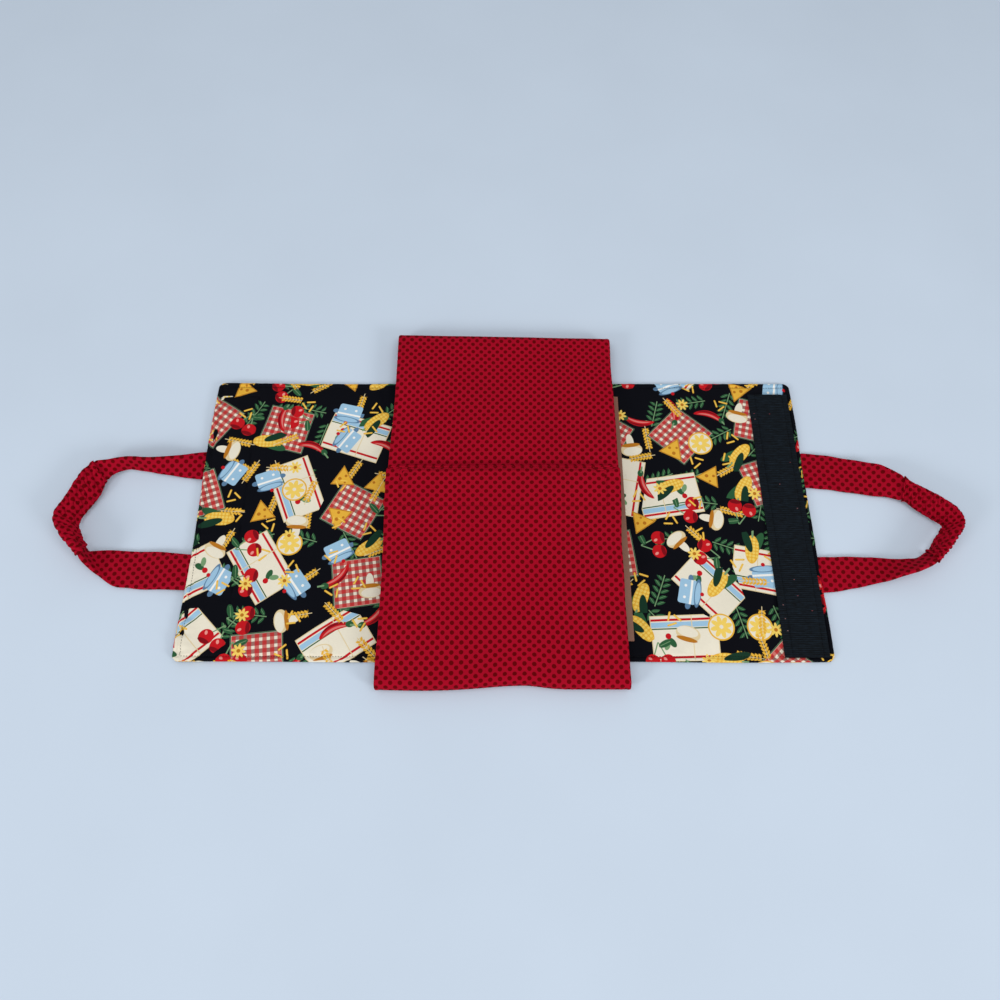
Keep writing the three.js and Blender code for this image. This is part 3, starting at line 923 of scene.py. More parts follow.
@shaping
def wavePrint(x, y, z):
    spec = printPanel
    x += waves(x, y, (0.09, 0.14, 0.23), 11) * spec["edgeWave"]
    y += waves(x, y, (0.08, 0.16, 0.21), 12) * spec["edgeWave"]
    # the left end spreads a little at its front corner and beside the back root
    wide = sum(bump((y - at) / width) * far for at, width, far in spec["spread"]["at"])
    x -= step(-x, *spec["spread"]["from"]) * wide
    above = step(z, 0.2 * spec["thickness"], 0.8 * spec["thickness"])
    z += above * waves(x, y, (0.05, 0.09, 0.15), 13) * spec["surfaceWave"]
    z[:] = np.clip(z, 0, spec["thickness"] + spec["highestPuff"])
    # the left lid is tipped up by the strip under it
    hinge = foldAt["left_lid_fold"]
    tip = (leftLid[1].z - spec["thickness"]) / (hinge.x - leftLid[0].x)
    z += np.maximum(hinge.x - x, 0) * tip


def makePrintPanel():
    spec = printPanel
    outline = spec["low"], spec["high"]
    border = inset(*outline, spec["topstitch"])
    strip = inset(*flat("left_side_strip"), stitch["inStrip"])
    marks = [[corner[axis] for corner in (*border, *strip)] for axis in (0, 1)]
    whole = quilt("print_panel", spec, *outline, marks, (border, outline), spec["underPrint"])
    spots = places(whole)
    spots[:, 2] += spec["thickness"] / 2
    setPlaces(whole, spots)
    sewDown(whole, frameSeams(*border) + frameSeams(*strip), spec["seamDepth"], spec["pucker"], 3)
    wavePrint(whole)
    return whole, frameSeams(*border)


wholePrint, printBorder = makePrintPanel()
leftWallMiddle = (foldAt["left_wall_fold"].x + foldAt["left_lid_fold"].x) / 2
rightWallMiddle = (foldAt["right_wall_fold"].x + foldAt["right_lid_fold"].x) / 2
printParts = [
    {"name": "print_left_end", "from": None, "to": leftWallMiddle, "between": ("left_wall", "left_lid"),
     "joint": "left_lid_fold", "nodes": ("left_lid",)},
    {"name": "print_left_inner", "from": leftWallMiddle, "to": 0, "between": ("base", "left_wall"),
     "joint": "left_wall_fold", "nodes": ("left_wall", "print_base")},
    {"name": "print_right_inner", "from": 0, "to": rightWallMiddle, "between": ("base", "right_wall"),
     "joint": "right_wall_fold", "nodes": ("right_wall",)},
    {"name": "print_right_end", "from": rightWallMiddle, "to": None,
     "between": ("right_wall", "right_lid"), "joint": "right_lid_fold", "nodes": ("right_lid",)},
]
for part in printParts:
    piece = cutPiece(wholePrint, part["name"], 0, part["from"], part["to"])
    wear(piece, printCloth, 40)
    # the ends of a short width each side of its fold
    bend = printPanel["bend"] * (-1 if part["joint"].startswith("left") else 1)
    middle = foldAt[part["joint"]]
    start, end = (middle.x - bend, 0, middle.z), (middle.x + bend, 0, middle.z)
    for bent in (*sewThrough(piece, part["name"], printBorder, blackThread), piece):
        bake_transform(bent)
    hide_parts(*layersOf(*part["nodes"]))
bpy.data.objects.remove(wholePrint)
print("print panel made")


# The red panel is sewn flat too, then laid along its route: the front flap, its fold, the base
# over the board, the back fold and the back flap
frontTip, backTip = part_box("front_flap_over_cloth")[1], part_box("back_flap_under_cloth")[0]
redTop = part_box("red_base_over_cloth")[1].z
redPanel = {
    "halfWidth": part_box("red_base_over_cloth")[1].x,
    "thickness": 5 * mm,
    "blankThickness": 2.6 * mm,
    "cell": 8 * mm,
    "cornerRadius": 6 * mm,
    "rampTop": 163 * mm,
    "foldRadius": 7.5 * mm,
    "puff": 1.25 * mm,
    "edgeSeamInset": 3 * mm,
    "seamDepth": 0.9 * mm,
    "pucker": 0.4 * mm,
    "edgeWave": 1.0 * mm,
    "surfaceWave": 0.8 * mm,
    "foldBend": 4 * mm,
    "underDots": (0.0031, 0.0017),
    "square": 0.18,
    # how far the left and the right edge are drawn in, along Y, all in millimetres
    "drawnIn": [(-209, 0.5, 1.5), (-180, 1.4, 2.6), (-150, 3.2, 3.8), (-115, 3.4, 5.2), (-80, 2.8, 4.2),
                (-45, 2.3, 3.8), (-8, 2.0, 1.4), (30, 1.5, 0.4), (70, 2.0, 1.2), (110, 2.6, 0.8),
                (150, 2.4, 0.9), (195, 1.2, 2.6), (243, 0, 2.4)],
    "backTaper": 5.5 * mm,
    "backSkew": 3.0 * mm,
    "dent": {"x": 22 * mm, "left": 50 * mm, "right": 26 * mm, "deep": 4.0 * mm, "lift": 1.0 * mm,
             "bulgeAt": -85 * mm, "bulge": 0.35},
    "droop": {"from": 12 * mm, "over": 14 * mm, "deep": 3.0 * mm},
}


def redRoute():
    # the middle of the quilt in Y and Z, from the front flap's free edge to the back flap's
    spec = redPanel
    radius, half = spec["foldRadius"], spec["thickness"] / 2
    front, back = foldAt["front_flap_fold"], foldAt["back_flap_fold"]
    frontRise = math.atan2(frontTip.z - (front.z + radius + half), frontTip.y - front.y)
    frontLength = (frontTip.y - front.y) / math.cos(frontRise)
    backDrop = math.atan2(back.z + radius - half - backTip.z, back.y - backTip.y)
    backLength = (back.y - backTip.y) / math.cos(backDrop)

    def ray(angle, lengths):
        return np.outer(lengths, (math.cos(angle), math.sin(angle)))

    def arc(centre, start, end):
        angles = np.linspace(start, end, 25)
        around = np.stack([np.cos(angles), np.sin(angles)], axis=1)
        return np.array([centre.y, centre.z]) + radius * around

    frontArc = arc(front, math.pi / 2 + frontRise, 1.5 * math.pi)
    backArc = arc(back, -math.pi / 2, math.pi / 2 + backDrop)
    y = np.linspace(front.y, back.y, 121)[1:-1]
    foldY = np.where(y < 0, abs(front.y), abs(back.y))
    climb = step(foldY - np.abs(y), 0, foldY - spec["rampTop"])
    line = np.concatenate([
        frontArc[0] + ray(frontRise, np.linspace(frontLength, 0, 41)[:-1]), frontArc,
        np.stack([y, half + (redTop - spec["thickness"]) * climb], axis=1),
        backArc, backArc[-1] - ray(backDrop, np.linspace(0, backLength, 41)[1:])])
    runs = runsAlong(line)
    cuts = [frontLength, frontLength + radius * (math.pi - frontRise),
            runs[-1] - backLength - radius * (math.pi + backDrop), runs[-1] - backLength]
    return {"line": line, "runs": runs, "total": runs[-1], "cuts": cuts}


def mapOuter(piece, route):
    # the outer cloth runs further round a fold than the middle of the quilt does
    uvs = clothUvs(piece)
    first, second, third, last = route["cuts"]
    turns = np.clip((uvs[:, 1] - first) / (second - first), 0, 1)
    turns += np.clip((uvs[:, 1] - third) / (last - third), 0, 1)
    uvs[:, 1] += np.where(facesDown(piece.data), turns * math.pi * redPanel["thickness"] / 2, 0)
    setClothUvs(piece, uvs)


@shaping
def layAlong(x, y, z, route):
    # Y in the flat is the run along the route, Z the height through the quilt
    run = np.clip(y, 0, route["total"])
    over = y - run
    slope = unit(np.gradient(route["line"], route["runs"], axis=0))
    atY, atZ = between(run, route["runs"], route["line"]).T
    alongY, alongZ = unit(between(run, route["runs"], slope)).T
    y[:], z[:] = atY + over * alongY - alongZ * z, atZ + over * alongZ + alongY * z


def hiddenFrame(node, tip):
    # a strip's seams on the flat panel, where Y runs back from the flap's tip
    low, high = inset(*flat(node), stitch["inStrip"])
    return (low[0], tip - high[1]), (high[0], tip - low[1])


def makeRedPanel():
    spec = redPanel
    route = redRoute()
    rim, half = spec["edgeSeamInset"], spec["halfWidth"]
    outline = (-half, 0), (half, route["total"])
    hook = hiddenFrame("flap_hook_strip", frontTip.y)
    loop = hiddenFrame("flap_loop_strip", route["total"] + backTip.y)
    ends = rim, route["total"] - rim
    marks = [[corner[0] for corner in hook], [*ends, *(corner[1] for corner in (*hook, *loop))]]
    whole = quilt("red_panel", spec, *outline, marks, (outline,), spec["underDots"])
    mapOuter(whole, route)
    seams = frameSeams(*hook) + frameSeams(*loop) + [((-half + rim, y), (half - rim, y)) for y in ends]
    sewDown(whole, seams, spec["seamDepth"], spec["pucker"], 23)
    waveSides(whole)
    names = ["red_front_flap", "red_front_fold", "red_base", "red_back_fold", "red_back_flap"]
    cuts = [None, *route["cuts"], None]
    made = {name: cutPiece(whole, name, 1, start, end) for name, start, end in zip(names, cuts, cuts[1:])}
    for piece in made.values():
        layAlong(piece, route)
    bpy.data.objects.remove(whole)
    return made


@shaping
def waveSides(x, y, z):
    x += waves(x, y, (0.1, 0.17, 0.26), 31) * redPanel["edgeWave"]


@shaping
def squareCorners(x, y, z):
    # the seams down the sides hold both folds square at their ends
    half = redPanel["halfWidth"]
    atSide = step(np.abs(x), half - 8 * mm, half - 1 * mm)
    for name, out in (("front_flap_fold", -1), ("back_flap_fold", 1)):
        past = np.maximum((y - foldAt[name].y) * out, 0)
        y += out * past * atSide * redPanel["square"]


@shaping
def drawIn(x, y, z):
    at, left, right = np.array(redPanel["drawnIn"]).T * mm
    share = x / redPanel["halfWidth"]
    x -= np.where(share < 0, np.interp(y, at, left), np.interp(y, at, right)) * share


@shaping
def dentFront(x, y, z):
    # the front fold is drawn back a little beside its middle, and the flap waves
    dent = redPanel["dent"]
    near = 1 - step(np.abs(y - foldAt["front_flap_fold"].y), 12 * mm, 55 * mm)
    wide = np.where(x < dent["x"], dent["left"], dent["right"])
    bulge = dent["bulge"] * bump((x - dent["bulgeAt"]) / dent["left"])
    drawn = near * (bump((x - dent["x"]) / wide) - bulge)
    y += drawn * dent["deep"]
    z += drawn * dent["lift"] * step(z, 6 * mm, 16 * mm)


@shaping
def skewBack(x, y, z):
    # the back edge is a little narrower at its left, and runs on a slant
    leftShare = 0.5 - x / (2 * redPanel["halfWidth"])
    x += redPanel["backTaper"] * step(y, 60 * mm, 240 * mm) * leftShare
    y += redPanel["backSkew"] * step(y, 120 * mm, 235 * mm) * (2 * leftShare - 1)


@shaping
def droopTip(x, y, z):
    # past the strips, the free edge of the front flap hangs down towards the back flap
    droop = redPanel["droop"]
    z -= step(y - (frontTip.y - droop["from"]), 0, droop["over"]) * droop["deep"]


@shaping
def waveTop(x, y, z):
    z += waves(x, y, (0.07, 0.12, 0.2), 41) * redPanel["surfaceWave"] * step(z, 12 * mm, 20 * mm)


redPieces = makeRedPanel()
for name, piece in redPieces.items():
    squareCorners(piece)
    drawIn(piece)
    if "back" not in name:
        dentFront(piece)
    if "front" not in name:
        skewBack(piece)
    if name == "red_front_flap":
        droopTip(piece)
    if name != "red_base":
        waveTop(piece)
    wear(piece, redCloth, 40)
    flap, out = ("front_flap", -1) if "front" in name else ("back_flap", 1)
    if name.endswith("fold"):
        fold, bend = foldAt[flap + "_fold"], redPanel["foldBend"]
        fold.z - bend
        fold.z + bend
        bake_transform(piece)
        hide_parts(flap.replace("flap", "fold"))
    elif name.endswith("flap"):
        strip = "flap_hook_strip" if flap == "front_flap" else "flap_loop_strip"
        tip = (frontTip if flap == "front_flap" else backTip).y + out * redPanel["edgeSeamInset"]
        reach = redPanel["halfWidth"] - redPanel["edgeSeamInset"]
        seams = frameSeams(*inset(*flat(strip), stitch["inStrip"])) + [((-reach, tip), (reach, tip))]
        for ridden in (*sewThrough(piece, name, seams, redThread), piece):
            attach(ridden, flap)
        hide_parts(*layersOf(flap))
    else:
        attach(piece, "base")
        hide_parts(*layersOf("red_base"))
print("red panel made")


# Stiffening board, with room under it for the puffs of the quilt that it slides over
board = {"bevel": 0.5 * mm, "cornerRadius": 4 * mm, "clear": 0.55 * mm}


def makeBoard():
    low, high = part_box("base_board")
    low = low + Vector((0, 0, board["clear"]))
    piece = begin("stiffening_board", bpy.ops.mesh.primitive_cube_add, size=1, location=(0, 0, 0))
    bpy.ops.transform.resize(value=tuple(high - low))
    bpy.ops.transform.translate(value=tuple((low + high) / 2))
    pickUpright(piece, 1 * mm)
    bpy.ops.mesh.bevel(offset=board["cornerRadius"], segments=5)
    leave()
    apply(piece, "BEVEL", width=board["bevel"], segments=2, limit_method="ANGLE",
          angle_limit=math.radians(60))
    wear(piece, hardboard, 35)
    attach(piece, "board")
    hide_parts("base_board")


makeBoard()
print("board made")


# Hook-and-loop strips: ribbed tape with a flat selvage down each side. climb is the way in
# which a strip rises from its lowest end to its highest.
strips = [
    {"name": "right_hook_tape", "node": "right_side_strip", "body": "right_lid", "cloth": hookTape,
     "rib": 0.28 * mm, "seed": 5, "faceUp": True, "climb": (0, 0)},
    {"name": "left_loop_tape", "node": "left_side_strip", "body": "left_lid", "cloth": loopTape,
     "rib": 0.12 * mm, "seed": 6, "faceUp": False, "climb": (-1, 0)},
    {"name": "flap_hook_tape", "node": "flap_hook_strip", "body": "front_flap", "cloth": hookTape,
     "rib": 0.28 * mm, "seed": 7, "faceUp": False, "climb": (0, 1)},
    {"name": "flap_loop_tape", "node": "flap_loop_strip", "body": "back_flap", "cloth": loopTape,
     "rib": 0.12 * mm, "seed": 8, "faceUp": True, "climb": (0, 1)},
]
tape = {"selvage": (9 * mm, 6.5 * mm), "endSeam": 3 * mm, "thickness": 1.5 * mm, "ribCell": 0.6 * mm,
        "cell": 2.5 * mm, "wave": 0.5 * mm, "groove": 0.85 * mm, "grooveWidth": 0.9 * mm,
        "flatten": 0.25 * mm}


def makeStrip(spec):
    low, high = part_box(spec["node"])
    size = high - low
    thickness = tape["thickness"]
    tall = size.y > size.x
    half, reach = (size.x / 2, size.y / 2) if tall else (size.y / 2, size.x / 2)
    left, right = -half + tape["selvage"][0], half - tape["selvage"][1]
    columns = gridLines(-half, half, tape["cell"], [left, right], tape["grooveWidth"])
    piece = quiltBlank(spec["name"], columns, gridLines(-reach, reach, tape["ribCell"]), thickness)
    mapCloth(piece, (-half, -reach), (half, reach), (0.02, 0.03))
    spots = places(piece)
    spots[:, 2] += thickness / 2
    x, y, z = spots.T
    inner = step(np.minimum(x - left, right - x), -0.8 * mm, 0.8 * mm)
    ribs = np.abs(np.sin(y * math.pi / (ribPitch * mm)))
    groove = np.maximum(*(bump((x - line) / tape["grooveWidth"]) for line in (left, right)))
    rise = (0.35 + 0.65 * inner) * ribs * spec["rib"] - groove * tape["groove"]
    z += np.where(z > thickness / 2, rise - (1 - inner) * tape["flatten"], 0)
    x += waves(y, y * 0, (0.06, 0.11, 0.19), spec["seed"]) * tape["wave"]
    end = reach - tape["endSeam"]
    seams = np.array(frameSeams((left, -end), (right, end)))
    # the tape and its seams are turned to lie as the strip does
    if not spec["faceUp"]:
        z[:] = thickness - z
        x *= -1
        seams[:, :, 0] *= -1
    if not tall:
        spots = np.stack([-y, x, z], axis=1)
        seams = np.stack([-seams[:, :, 1], seams[:, :, 0]], axis=2)
    middle = np.array((low + high) / 2)[:2]
    spots[:, :2] += middle
    spots[:, 2] += low.z
    for axis, way in enumerate(spec["climb"]):
        share = (spots[:, axis] - low[axis]) / size[axis]
        spots[:, 2] += abs(way) * (share if way > 0 else 1 - share) * (size.z - thickness)
    setPlaces(piece, spots)
    faceOutwards(piece)
    wear(piece, spec["cloth"], 50)
    stitches = sew(spec["name"] + "_stitches", piece, seams + middle, blackThread, spec["faceUp"])
    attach(stitches, spec["body"])
    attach(piece, spec["body"])
    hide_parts(spec["node"])


for spec in strips:
    makeStrip(spec)
print("strips made")


# Handles: a folded strap, flat at its roots and standing on edge in the grip
handleEdges = {
    # the outer and the inner edge of the strap at each station, X, Y and Z in millimetres, from
    # the back root round to the front one; the grip's own edges where it covers the strap
    "right": [
        (373.3, 78.7, 2.5, 370.8, 32.1, 2.5), (399.3, 74.9, 3, 394.5, 29.1, 2.6),
        (421.8, 70.1, 4.5, 415.0, 25.9, 3), (439.7, 65.9, 7, 437.5, 22.7, 3.4),
        (455.6, 60.5, 11, 457.4, 19.4, 4), (468.3, 51.6, 15, 469.2, 16.6, 4.6),
        (482.4, 40.3, 18, 479.1, 13.9, 5), (499.1, 25.5, 20, 490.1, 5.8, 5),
        (517.3, 11.7, 21, 509.3, -8.3, 5), (531.4, -1.1, 22, 518.4, -14.3, 5),
        (535.6, -16.6, 24, 521.9, -18.9, 5), (530.8, -28.2, 26, 520.4, -22.4, 5),
        (522.3, -37.4, 27, 516.4, -27.4, 5), (515.4, -46.8, 27, 509.3, -35.5, 5),
        (507.5, -56.1, 27, 502.2, -44.6, 5), (498.7, -64.0, 27, 497.2, -49.6, 5),
        (491.1, -69.7, 25, 492.2, -53.2, 5), (478.2, -75.6, 23.5, 485.3, -57.6, 4.6),
        (464.8, -80.8, 21, 477.5, -60.0, 4.2), (444.6, -86.2, 14.5, 459.7, -59.3, 3.6),
        (424.1, -90.8, 8, 434.7, -57.5, 3), (408.5, -94.0, 5, 412.6, -56.3, 2.8),
        (393.1, -96.6, 3.4, 393.5, -55.9, 2.6), (379.3, -98.4, 2.7, 380.4, -55.9, 2.5),
        (366.2, -99.4, 2.5, 368.7, -55.9, 2.5),
    ],
    "left": [
        (-368.0, 79.3, 5.2, -366.9, 42.0, 5.2), (-380.4, 75.5, 9, -380.5, 44.0, 4.2),
        (-393.5, 71.5, 13, -393.4, 45.8, 3.6), (-408.5, 68.1, 17, -411.1, 49.3, 3.6),
        (-423.9, 65.1, 20, -428.1, 52.7, 4), (-435.7, 64.2, 22, -442.0, 55.0, 4.4),
        (-448.0, 63.7, 23, -454.9, 56.9, 4.8), (-462.4, 63.7, 22, -466.8, 53.6, 5.2),
        (-478.4, 62.6, 20, -475.7, 48.0, 5.4), (-496.4, 61.1, 18, -480.7, 39.9, 5.6),
        (-503.6, 51.4, 17.5, -483.7, 30.8, 5.6), (-508.3, 40.3, 18, -487.3, 21.8, 5.4),
        (-512.6, 25.0, 19, -493.0, 11.8, 5.2), (-516.4, 10.2, 21, -499.2, 1.8, 5),
        (-521.7, -2.0, 22, -503.7, -6.3, 5), (-522.4, -12.7, 24, -505.2, -13.3, 5),
        (-517.8, -22.9, 25, -505.2, -18.4, 5), (-508.8, -35.1, 26, -502.7, -24.4, 5),
        (-500.4, -44.0, 26, -499.2, -31.5, 5), (-492.6, -51.8, 26, -495.1, -38.0, 5),
        (-484.9, -60.0, 24, -491.3, -43.9, 4.6), (-477.5, -68.9, 18, -487.5, -48.4, 4.2),
        (-466.2, -78.8, 8, -484.7, -49.2, 3.8), (-448.6, -91.5, 3.4, -479.0, -48.5, 3.2),
        (-428.7, -93.9, 2.8, -451.0, -47.8, 2.6), (-405.2, -95.5, 3.2, -410.4, -49.5, 3),
        (-383.4, -96.4, 4.6, -387.4, -51.5, 4.6), (-362.9, -97.1, 5.2, -364.9, -53.7, 5.2),
    ],
}
strap = {
    "width": 46 * mm, "thickness": 3 * mm, "folded": 5 * mm, "tuck": 6 * mm, "stepsPerRow": 12,
    "acrossCells": 16, "cell": 3 * mm, "seam": 3 * mm, "seamDepth": 0.3 * mm, "pucker": 0.25 * mm,
    "hidden": 5 * mm, "pressed": 0.3, "warp": 0.7 * mm, "sway": 0.8 * mm, "clearance": 0.2 * mm,
    "rootBend": (3 * mm, 7 * mm),
}
handles = {
    "right": {"side": 1, "grip": (6, 15.6), "flare": 1.1 * mm, "neck": 0.02, "seed": 61},
    "left": {"side": -1, "grip": (9, 20), "flare": 0.4 * mm, "neck": 0.08, "seed": 60},
}


def curveThrough(points, steps):
    padded = np.concatenate([[2 * points[0] - points[1]], points, [2 * points[-1] - points[-2]]])
    made = []
    for a, b, c, d in zip(padded, padded[1:], padded[2:], padded[3:]):
        for t in np.arange(steps) / steps:
            made.append(0.5 * (2 * b + (c - a) * t + (2 * a - 5 * b + 4 * c - d) * t ** 2
                               + (3 * b - a - 3 * c + d) * t ** 3))
    return np.array(made + [points[-1]])


def apex(start, end, fromStart, fromEnd, away):
    # the point at two distances from the ends of a line, on the side away from a third point
    base = end - start
    length = np.linalg.norm(base)
    base /= length
    run = (fromStart ** 2 - fromEnd ** 2 + length ** 2) / (2 * length)
    rise = math.sqrt(max(0, fromStart ** 2 - run ** 2))
    across = np.array([-base[1], base[0]])
    if across @ (away - start) > 0:
        across = -across
    return start + base * run + across * rise


def unroll(outer, inner):
    # the strip laid out flat with every length kept, so that the dots aren't stretched
    flatOuter = [np.array([np.linalg.norm(outer[0] - inner[0]) / 2, 0])]
    flatInner = [-flatOuter[0]]
    behind = np.array([0, -1.0])
    for o, i, nextO, nextI in zip(outer, inner, outer[1:], inner[1:]):
        o2, i2 = flatOuter[-1], flatInner[-1]
        newI = apex(i2, o2, np.linalg.norm(nextI - i), np.linalg.norm(nextI - o), behind)
        newO = apex(newI, o2, np.linalg.norm(nextO - nextI), np.linalg.norm(nextO - o), i2)
        flatOuter.append(newO)
        flatInner.append(newI)
        behind = (o2 + i2) / 2 - ((newO + newI) / 2 - (o2 + i2) / 2) * 0.2
    return np.array(flatOuter), np.array(flatInner)


def handleRoute(side):
    spec = handles[side]
    rows = np.array(handleEdges[side]) * mm
    inward = np.array([-spec["side"] * strap["tuck"], 0, 0])
    outer, inner = (curveThrough(edge, strap["stepsPerRow"]) for edge in (rows[:, :3], rows[:, 3:]))
    outer, inner = (np.concatenate([[edge[0] + inward], edge, [edge[-1] + inward]])
                    for edge in (outer, inner))
    centre = (outer + inner) / 2
    runs = runsAlong(centre)
    wide = np.linalg.norm(outer - inner, axis=1)
    across = (outer - inner) / wide[:, None]
    up = unit(np.cross(across, np.gradient(centre, runs, axis=0)))
    up *= np.sign(up[:, 2:3])
    flatOuter, flatInner = unroll(outer, inner)
    row = np.clip((np.arange(len(runs)) - 1) / strap["stepsPerRow"], 0, len(rows) - 1)
    gripRuns = np.interp(spec["grip"], row[1:-1], runs[1:-1])
    laid = (flatOuter + flatInner) / 2, (flatOuter - flatInner) / wide[:, None]
    # inside the grip the strap is pieced, so that its grain runs straight at both roots
    turn = -math.atan2(laid[1][-1][1], laid[1][-1][0])
    turning = np.array([[math.cos(turn), math.sin(turn)], [-math.sin(turn), math.cos(turn)]])
    second = (runs > gripRuns.mean())[:, None]
    pieced = [np.where(second, values @ turning, values) for values in laid]
    return {"centre": centre, "runs": runs, "wide": wide, "across": across, "up": up,
            "grip": gripRuns, "sleeve": laid, "strap": pieced}


def widthAt(route, run):
    return np.interp(run, route["runs"], route["wide"])


@shaping
def placeOnRoute(x, y, z, route, share):
    # X in the flat is across the strap, Y the run along it, Z its height
    centre, across, up = (between(y, route["runs"], route[key]) for key in ("centre", "across", "up"))
    moved = centre + unit(across) * (x * share(y))[:, None] + unit(up) * z[:, None]
    x[:], y[:], z[:] = moved[:, 0], moved[:, 1], np.maximum(moved[:, 2], strap["clearance"])


def mapOnRoute(piece, route, part, share=1, gather=1):
    # share is how much of the flat width shows at each run
    x, run = clothUvs(piece).T
    middle, across = (between(run, route["runs"], table) for table in route[part])
    reach = x * (share(run) if callable(share) else share)
    setClothUvs(piece, (middle + unit(across) * reach[:, None]) * gather)


def makeStrap(side):
    spec = handles[side]
    route = handleRoute(side)
    length, width = route["runs"][-1], strap["width"]
    half, seed = width / 2, spec["seed"]
    columns = gridLines(-half, half, width / strap["acrossCells"])
    piece = quiltBlank(side + "_strap", columns, gridLines(0, length, strap["cell"]), strap["thickness"])
    roundUp(piece, 1)
    mapCloth(piece, (-half, 0), (half, length), (0.004, 0.002))

    def share(run):
        start, end = route["grip"]
        inGrip = step(run, start - 4 * mm, start + 2 * mm) * (1 - step(run, end - 2 * mm, end + 4 * mm))
        return (widthAt(route, run) - strap["hidden"] * inGrip) / width

    mapOnRoute(piece, route, "strap", share)
    seams = [((x, 0), (x, length)) for x in (-half + strap["seam"], half - strap["seam"])]
    sewDown(piece, seams, strap["seamDepth"], strap["pucker"], seed)
    spots = places(piece)
    x, y, z = spots.T
    narrow = np.clip((1 - share(y)) / 0.45, 0, 1)
    z *= 1 + (strap["folded"] / strap["thickness"] - 1) * narrow
    # its ends are pressed thin where they are sewn into the lid's edge
    fromEnd = np.minimum(y, length - y)
    root = step(fromEnd, strap["tuck"] - 1 * mm, strap["tuck"] + 7 * mm)
    z *= strap["pressed"] + (1 - strap["pressed"]) * root
    free = step(fromEnd, 10 * mm, 40 * mm)
    z += waves(x * 0.6, y, (0.028, 0.05, 0.09), seed + 10) * strap["warp"] * free
    x += waves(y, x * 0, (0.03, 0.055), seed + 20) * strap["sway"] * free
    setPlaces(piece, spots)
    placeOnRoute(piece, route, share)
    wear(piece, redCloth, 45)
    hinge = foldAt[side + "_handle_swing"]
    inside, outside = (spec["side"] * reach for reach in strap["rootBend"])
    hinge.x - inside
    hinge.x + outside
    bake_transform(piece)
    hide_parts(side + "_handle_strap")
    return route


grip = {"half": 13.5 * mm, "thick": 4.4 * mm, "around": 32, "cell": 3.5 * mm, "puff": 1.4 * mm,
        "wrinkle": 1.0 * mm, "crease": 2.6 * mm, "pleat": 0.4 * mm, "fray": 0.3 * mm,
        "tie": 0.7 * mm, "gather": 1.15, "wall": 1.0 * mm}


def gripSection(turn):
    # across and up, at an angle round the middle of the grip
    across = np.sign(np.cos(turn)) * np.abs(np.cos(turn)) ** 0.7 * grip["half"]
    return across, np.sign(np.sin(turn)) * np.abs(np.sin(turn)) ** 0.8 * grip["thick"]


def mapGrip(piece, turn, run):
    # how far round from the middle of the top, along the section, and how far along the strap
    fine = np.linspace(-math.pi, math.pi, 721)
    gone = runsAlong(np.stack(gripSection(fine + math.pi / 2), axis=1))
    girth = gone[-1]
    fromTop = (turn + math.pi / 2) % (2 * math.pi) - math.pi
    wound = girth / 2 - np.interp(fromTop, fine, gone)
    corners = read(piece.data.loops, "vertex_index", kind=np.int32)
    at = wound[corners].reshape(-1, 4)
    wraps = (at.max(axis=1) - at.min(axis=1) > girth / 2)[:, None]
    at = np.where(wraps & (at < 0), at + girth, at)
    setClothUvs(piece, np.stack([at.ravel(), run[corners]], axis=1))


@shaping
def crumple(x, y, z, length, start, spec):
    # the gathers, creases and frayed ends of a sleeve; crush, folds and pleats are its waves
    out = unit(np.stack([x / grip["half"] ** 2, y * 0, z / grip["thick"] ** 2], axis=1))
    around = np.arctan2(z / grip["thick"], x / grip["half"]) * 9 * mm
    ends = np.minimum(y, length - y)
    seed = spec["seed"]
    crush = waves(y, around, (0.006, 0.009, 0.014, 0.022), seed + 30)
    folds = waves(y * 1.2, around * 0.8, (0.0065, 0.0095, 0.014, 0.022), seed + 40)
    creases = 0.5 - np.exp(-np.abs(folds) / 0.16)
    pleats = waves(around, y * 0.15, (0.0055, 0.008, 0.012), seed + 50) * np.exp(-ends / (9 * mm))
    flare = np.exp(-ends / (2.2 * mm)) * (1 + 0.3 * waves(around, y * 0, (0.006, 0.0095), seed + 60))
    tie = bump((ends - 4.5 * mm) / (2.2 * mm))
    # the folds show on the broad faces and leave the outline fairly even
    broad = 0.35 + 0.65 * out[:, 2] ** 2
    move = (crush * grip["wrinkle"] + creases * grip["crease"]) * broad + pleats * grip["pleat"]
    move += (flare * spec["flare"] - tie * grip["tie"]) * broad
    frayed = waves(around, y * 0, (0.005, 0.008, 0.013), seed + 70) * grip["fray"]
    side = np.where(y < length / 2, -1, 1)
    x += out[:, 0] * move
    z += out[:, 2] * move
    y += start + side * frayed * np.exp(-ends / (3 * mm))


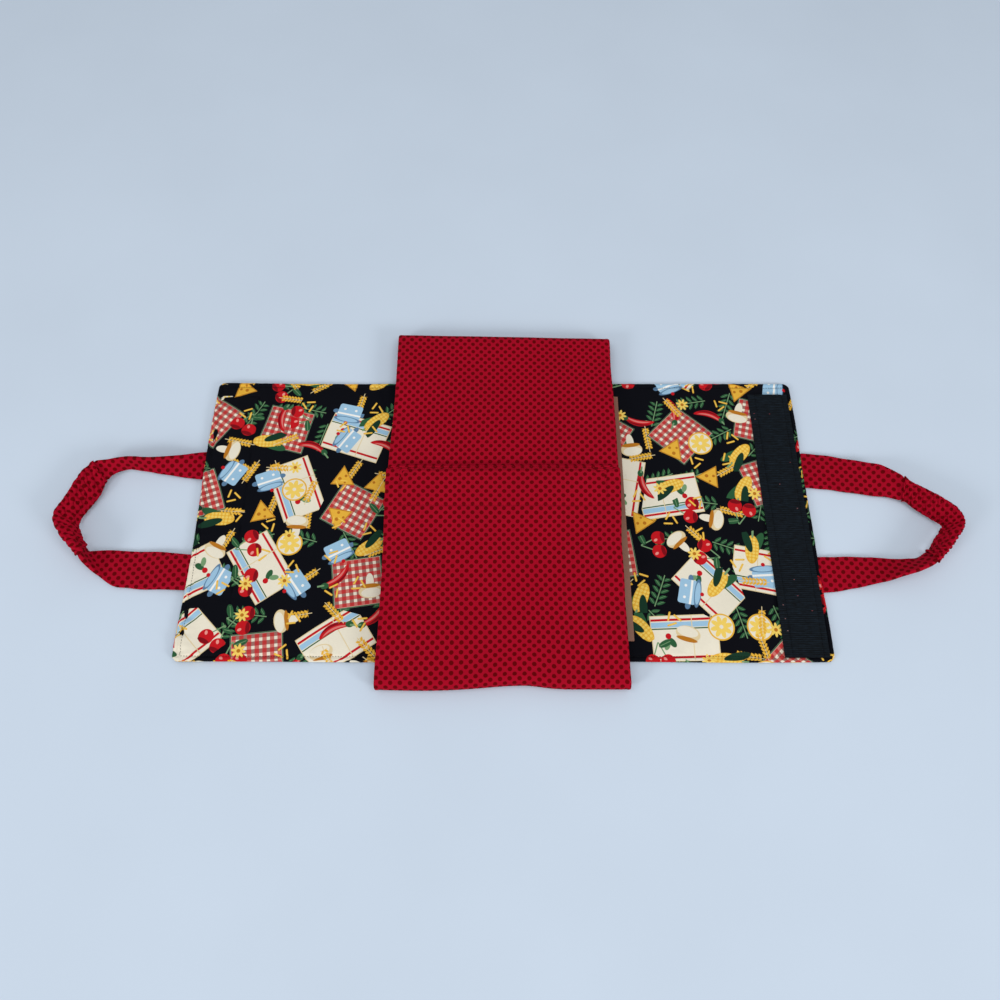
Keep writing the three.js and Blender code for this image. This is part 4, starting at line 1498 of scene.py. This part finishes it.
def makeGrip(side, route):
    spec = handles[side]
    start, end = route["grip"]
    length = end - start
    piece = begin(side + "_grip_sleeve", bpy.ops.mesh.primitive_cylinder_add, radius=1, depth=1,
                  vertices=grip["around"], end_fill_type="NOTHING", location=(0, 0, 0))
    pickUpright(piece, 0.5)
    bpy.ops.mesh.subdivide(number_cuts=round(length / grip["cell"]))
    leave()
    x, y, z = places(piece).T
    turn, run = np.arctan2(y, x), (z + 0.5) * length
    across, up = gripSection(turn)
    setPlaces(piece, np.stack([across, run, up], axis=1))
    mapGrip(piece, turn, run + start)
    puffUp(piece, (run < 2 * mm) | (run > length - 2 * mm), grip["puff"], 2, 0.09)
    roundUp(piece, 2)
    crumple(piece, length, start, spec)

    def share(at):
        ends = np.maximum(np.minimum(at - start, end - at), 0)
        neck = 1 - spec["neck"] * np.exp(-ends / (5 * mm))
        return widthAt(route, at) / (2 * grip["half"]) * neck

    mapOnRoute(piece, route, "sleeve", gather=grip["gather"])
    placeOnRoute(piece, route, share)
    apply(piece, "SOLIDIFY", thickness=grip["wall"], offset=-1)
    faceOutwards(piece)
    wear(piece, redCloth, 60)
    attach(piece, side + "_handle")
    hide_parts(side + "_handle_grip")


for handleSide in ("right", "left"):
    makeGrip(handleSide, makeStrap(handleSide))
print("handles made")


# Stage
stage = {
    "floor": 6.0, "floorInk": ink(199, 212, 227), "worldInk": (0.96, 0.98, 1.0, 1), "world": 0.55,
    "lamps": [
        {"name": "key", "place": (0.75, -0.35, 1.9), "size": 1.0, "power": 6.2},
        {"name": "fill", "place": (-0.8, -0.25, 1.9), "size": 1.0, "power": 5.2},
        {"name": "right_window", "place": (3.2, -2.4, 1.7), "size": 1.2, "power": 58},
        {"name": "left_window", "place": (-3.2, -2.4, 1.7), "size": 1.2, "power": 58},
    ],
    "camera": {"place": (-0.0035, -0.3316, 0.838), "tilt": 22.6, "lens": 27, "sensor": 36},
}


def makeStage():
    floor = begin("floor", bpy.ops.mesh.primitive_plane_add, size=stage["floor"],
                  location=(0, 0, -0.05 * mm))
    leave()
    material, shader = newMaterial("pale floor", 0.7, Specular_IOR_Level=0.2)
    cloud = noise(solidPoint(shader), 0.004, 3)
    plug(shader.inputs["Base Color"],
         mixed(cloud, toned(stage["floorInk"], 0.95), toned(stage["floorInk"], 1.04)))
    floor.data.materials.append(material)
    world = bpy.data.worlds.new("studio")
    bpy.context.scene.world = world
    world.use_nodes = True
    background = world.node_tree.nodes["Background"]
    background.inputs["Color"].default_value = stage["worldInk"]
    background.inputs["Strength"].default_value = stage["world"]
    for spec in stage["lamps"]:
        bpy.ops.object.light_add(type="AREA", location=spec["place"])
        lamp = bpy.context.active_object
        lamp.name = spec["name"]
        lamp.data.shape = "DISK"
        lamp.data.size = spec["size"]
        lamp.data.energy = spec["power"]
        lamp.rotation_euler = (-Vector(spec["place"])).to_track_quat("-Z", "Y").to_euler()
    spec = stage["camera"]
    bpy.ops.object.camera_add(location=spec["place"], rotation=(math.radians(spec["tilt"]), 0, 0))
    camera = bpy.context.active_object
    camera.data.lens = spec["lens"]
    camera.data.sensor_width = spec["sensor"]
    bpy.context.scene.camera = camera
    bpy.context.scene.view_settings.view_transform = "Standard"


makeStage()
print("stage set")
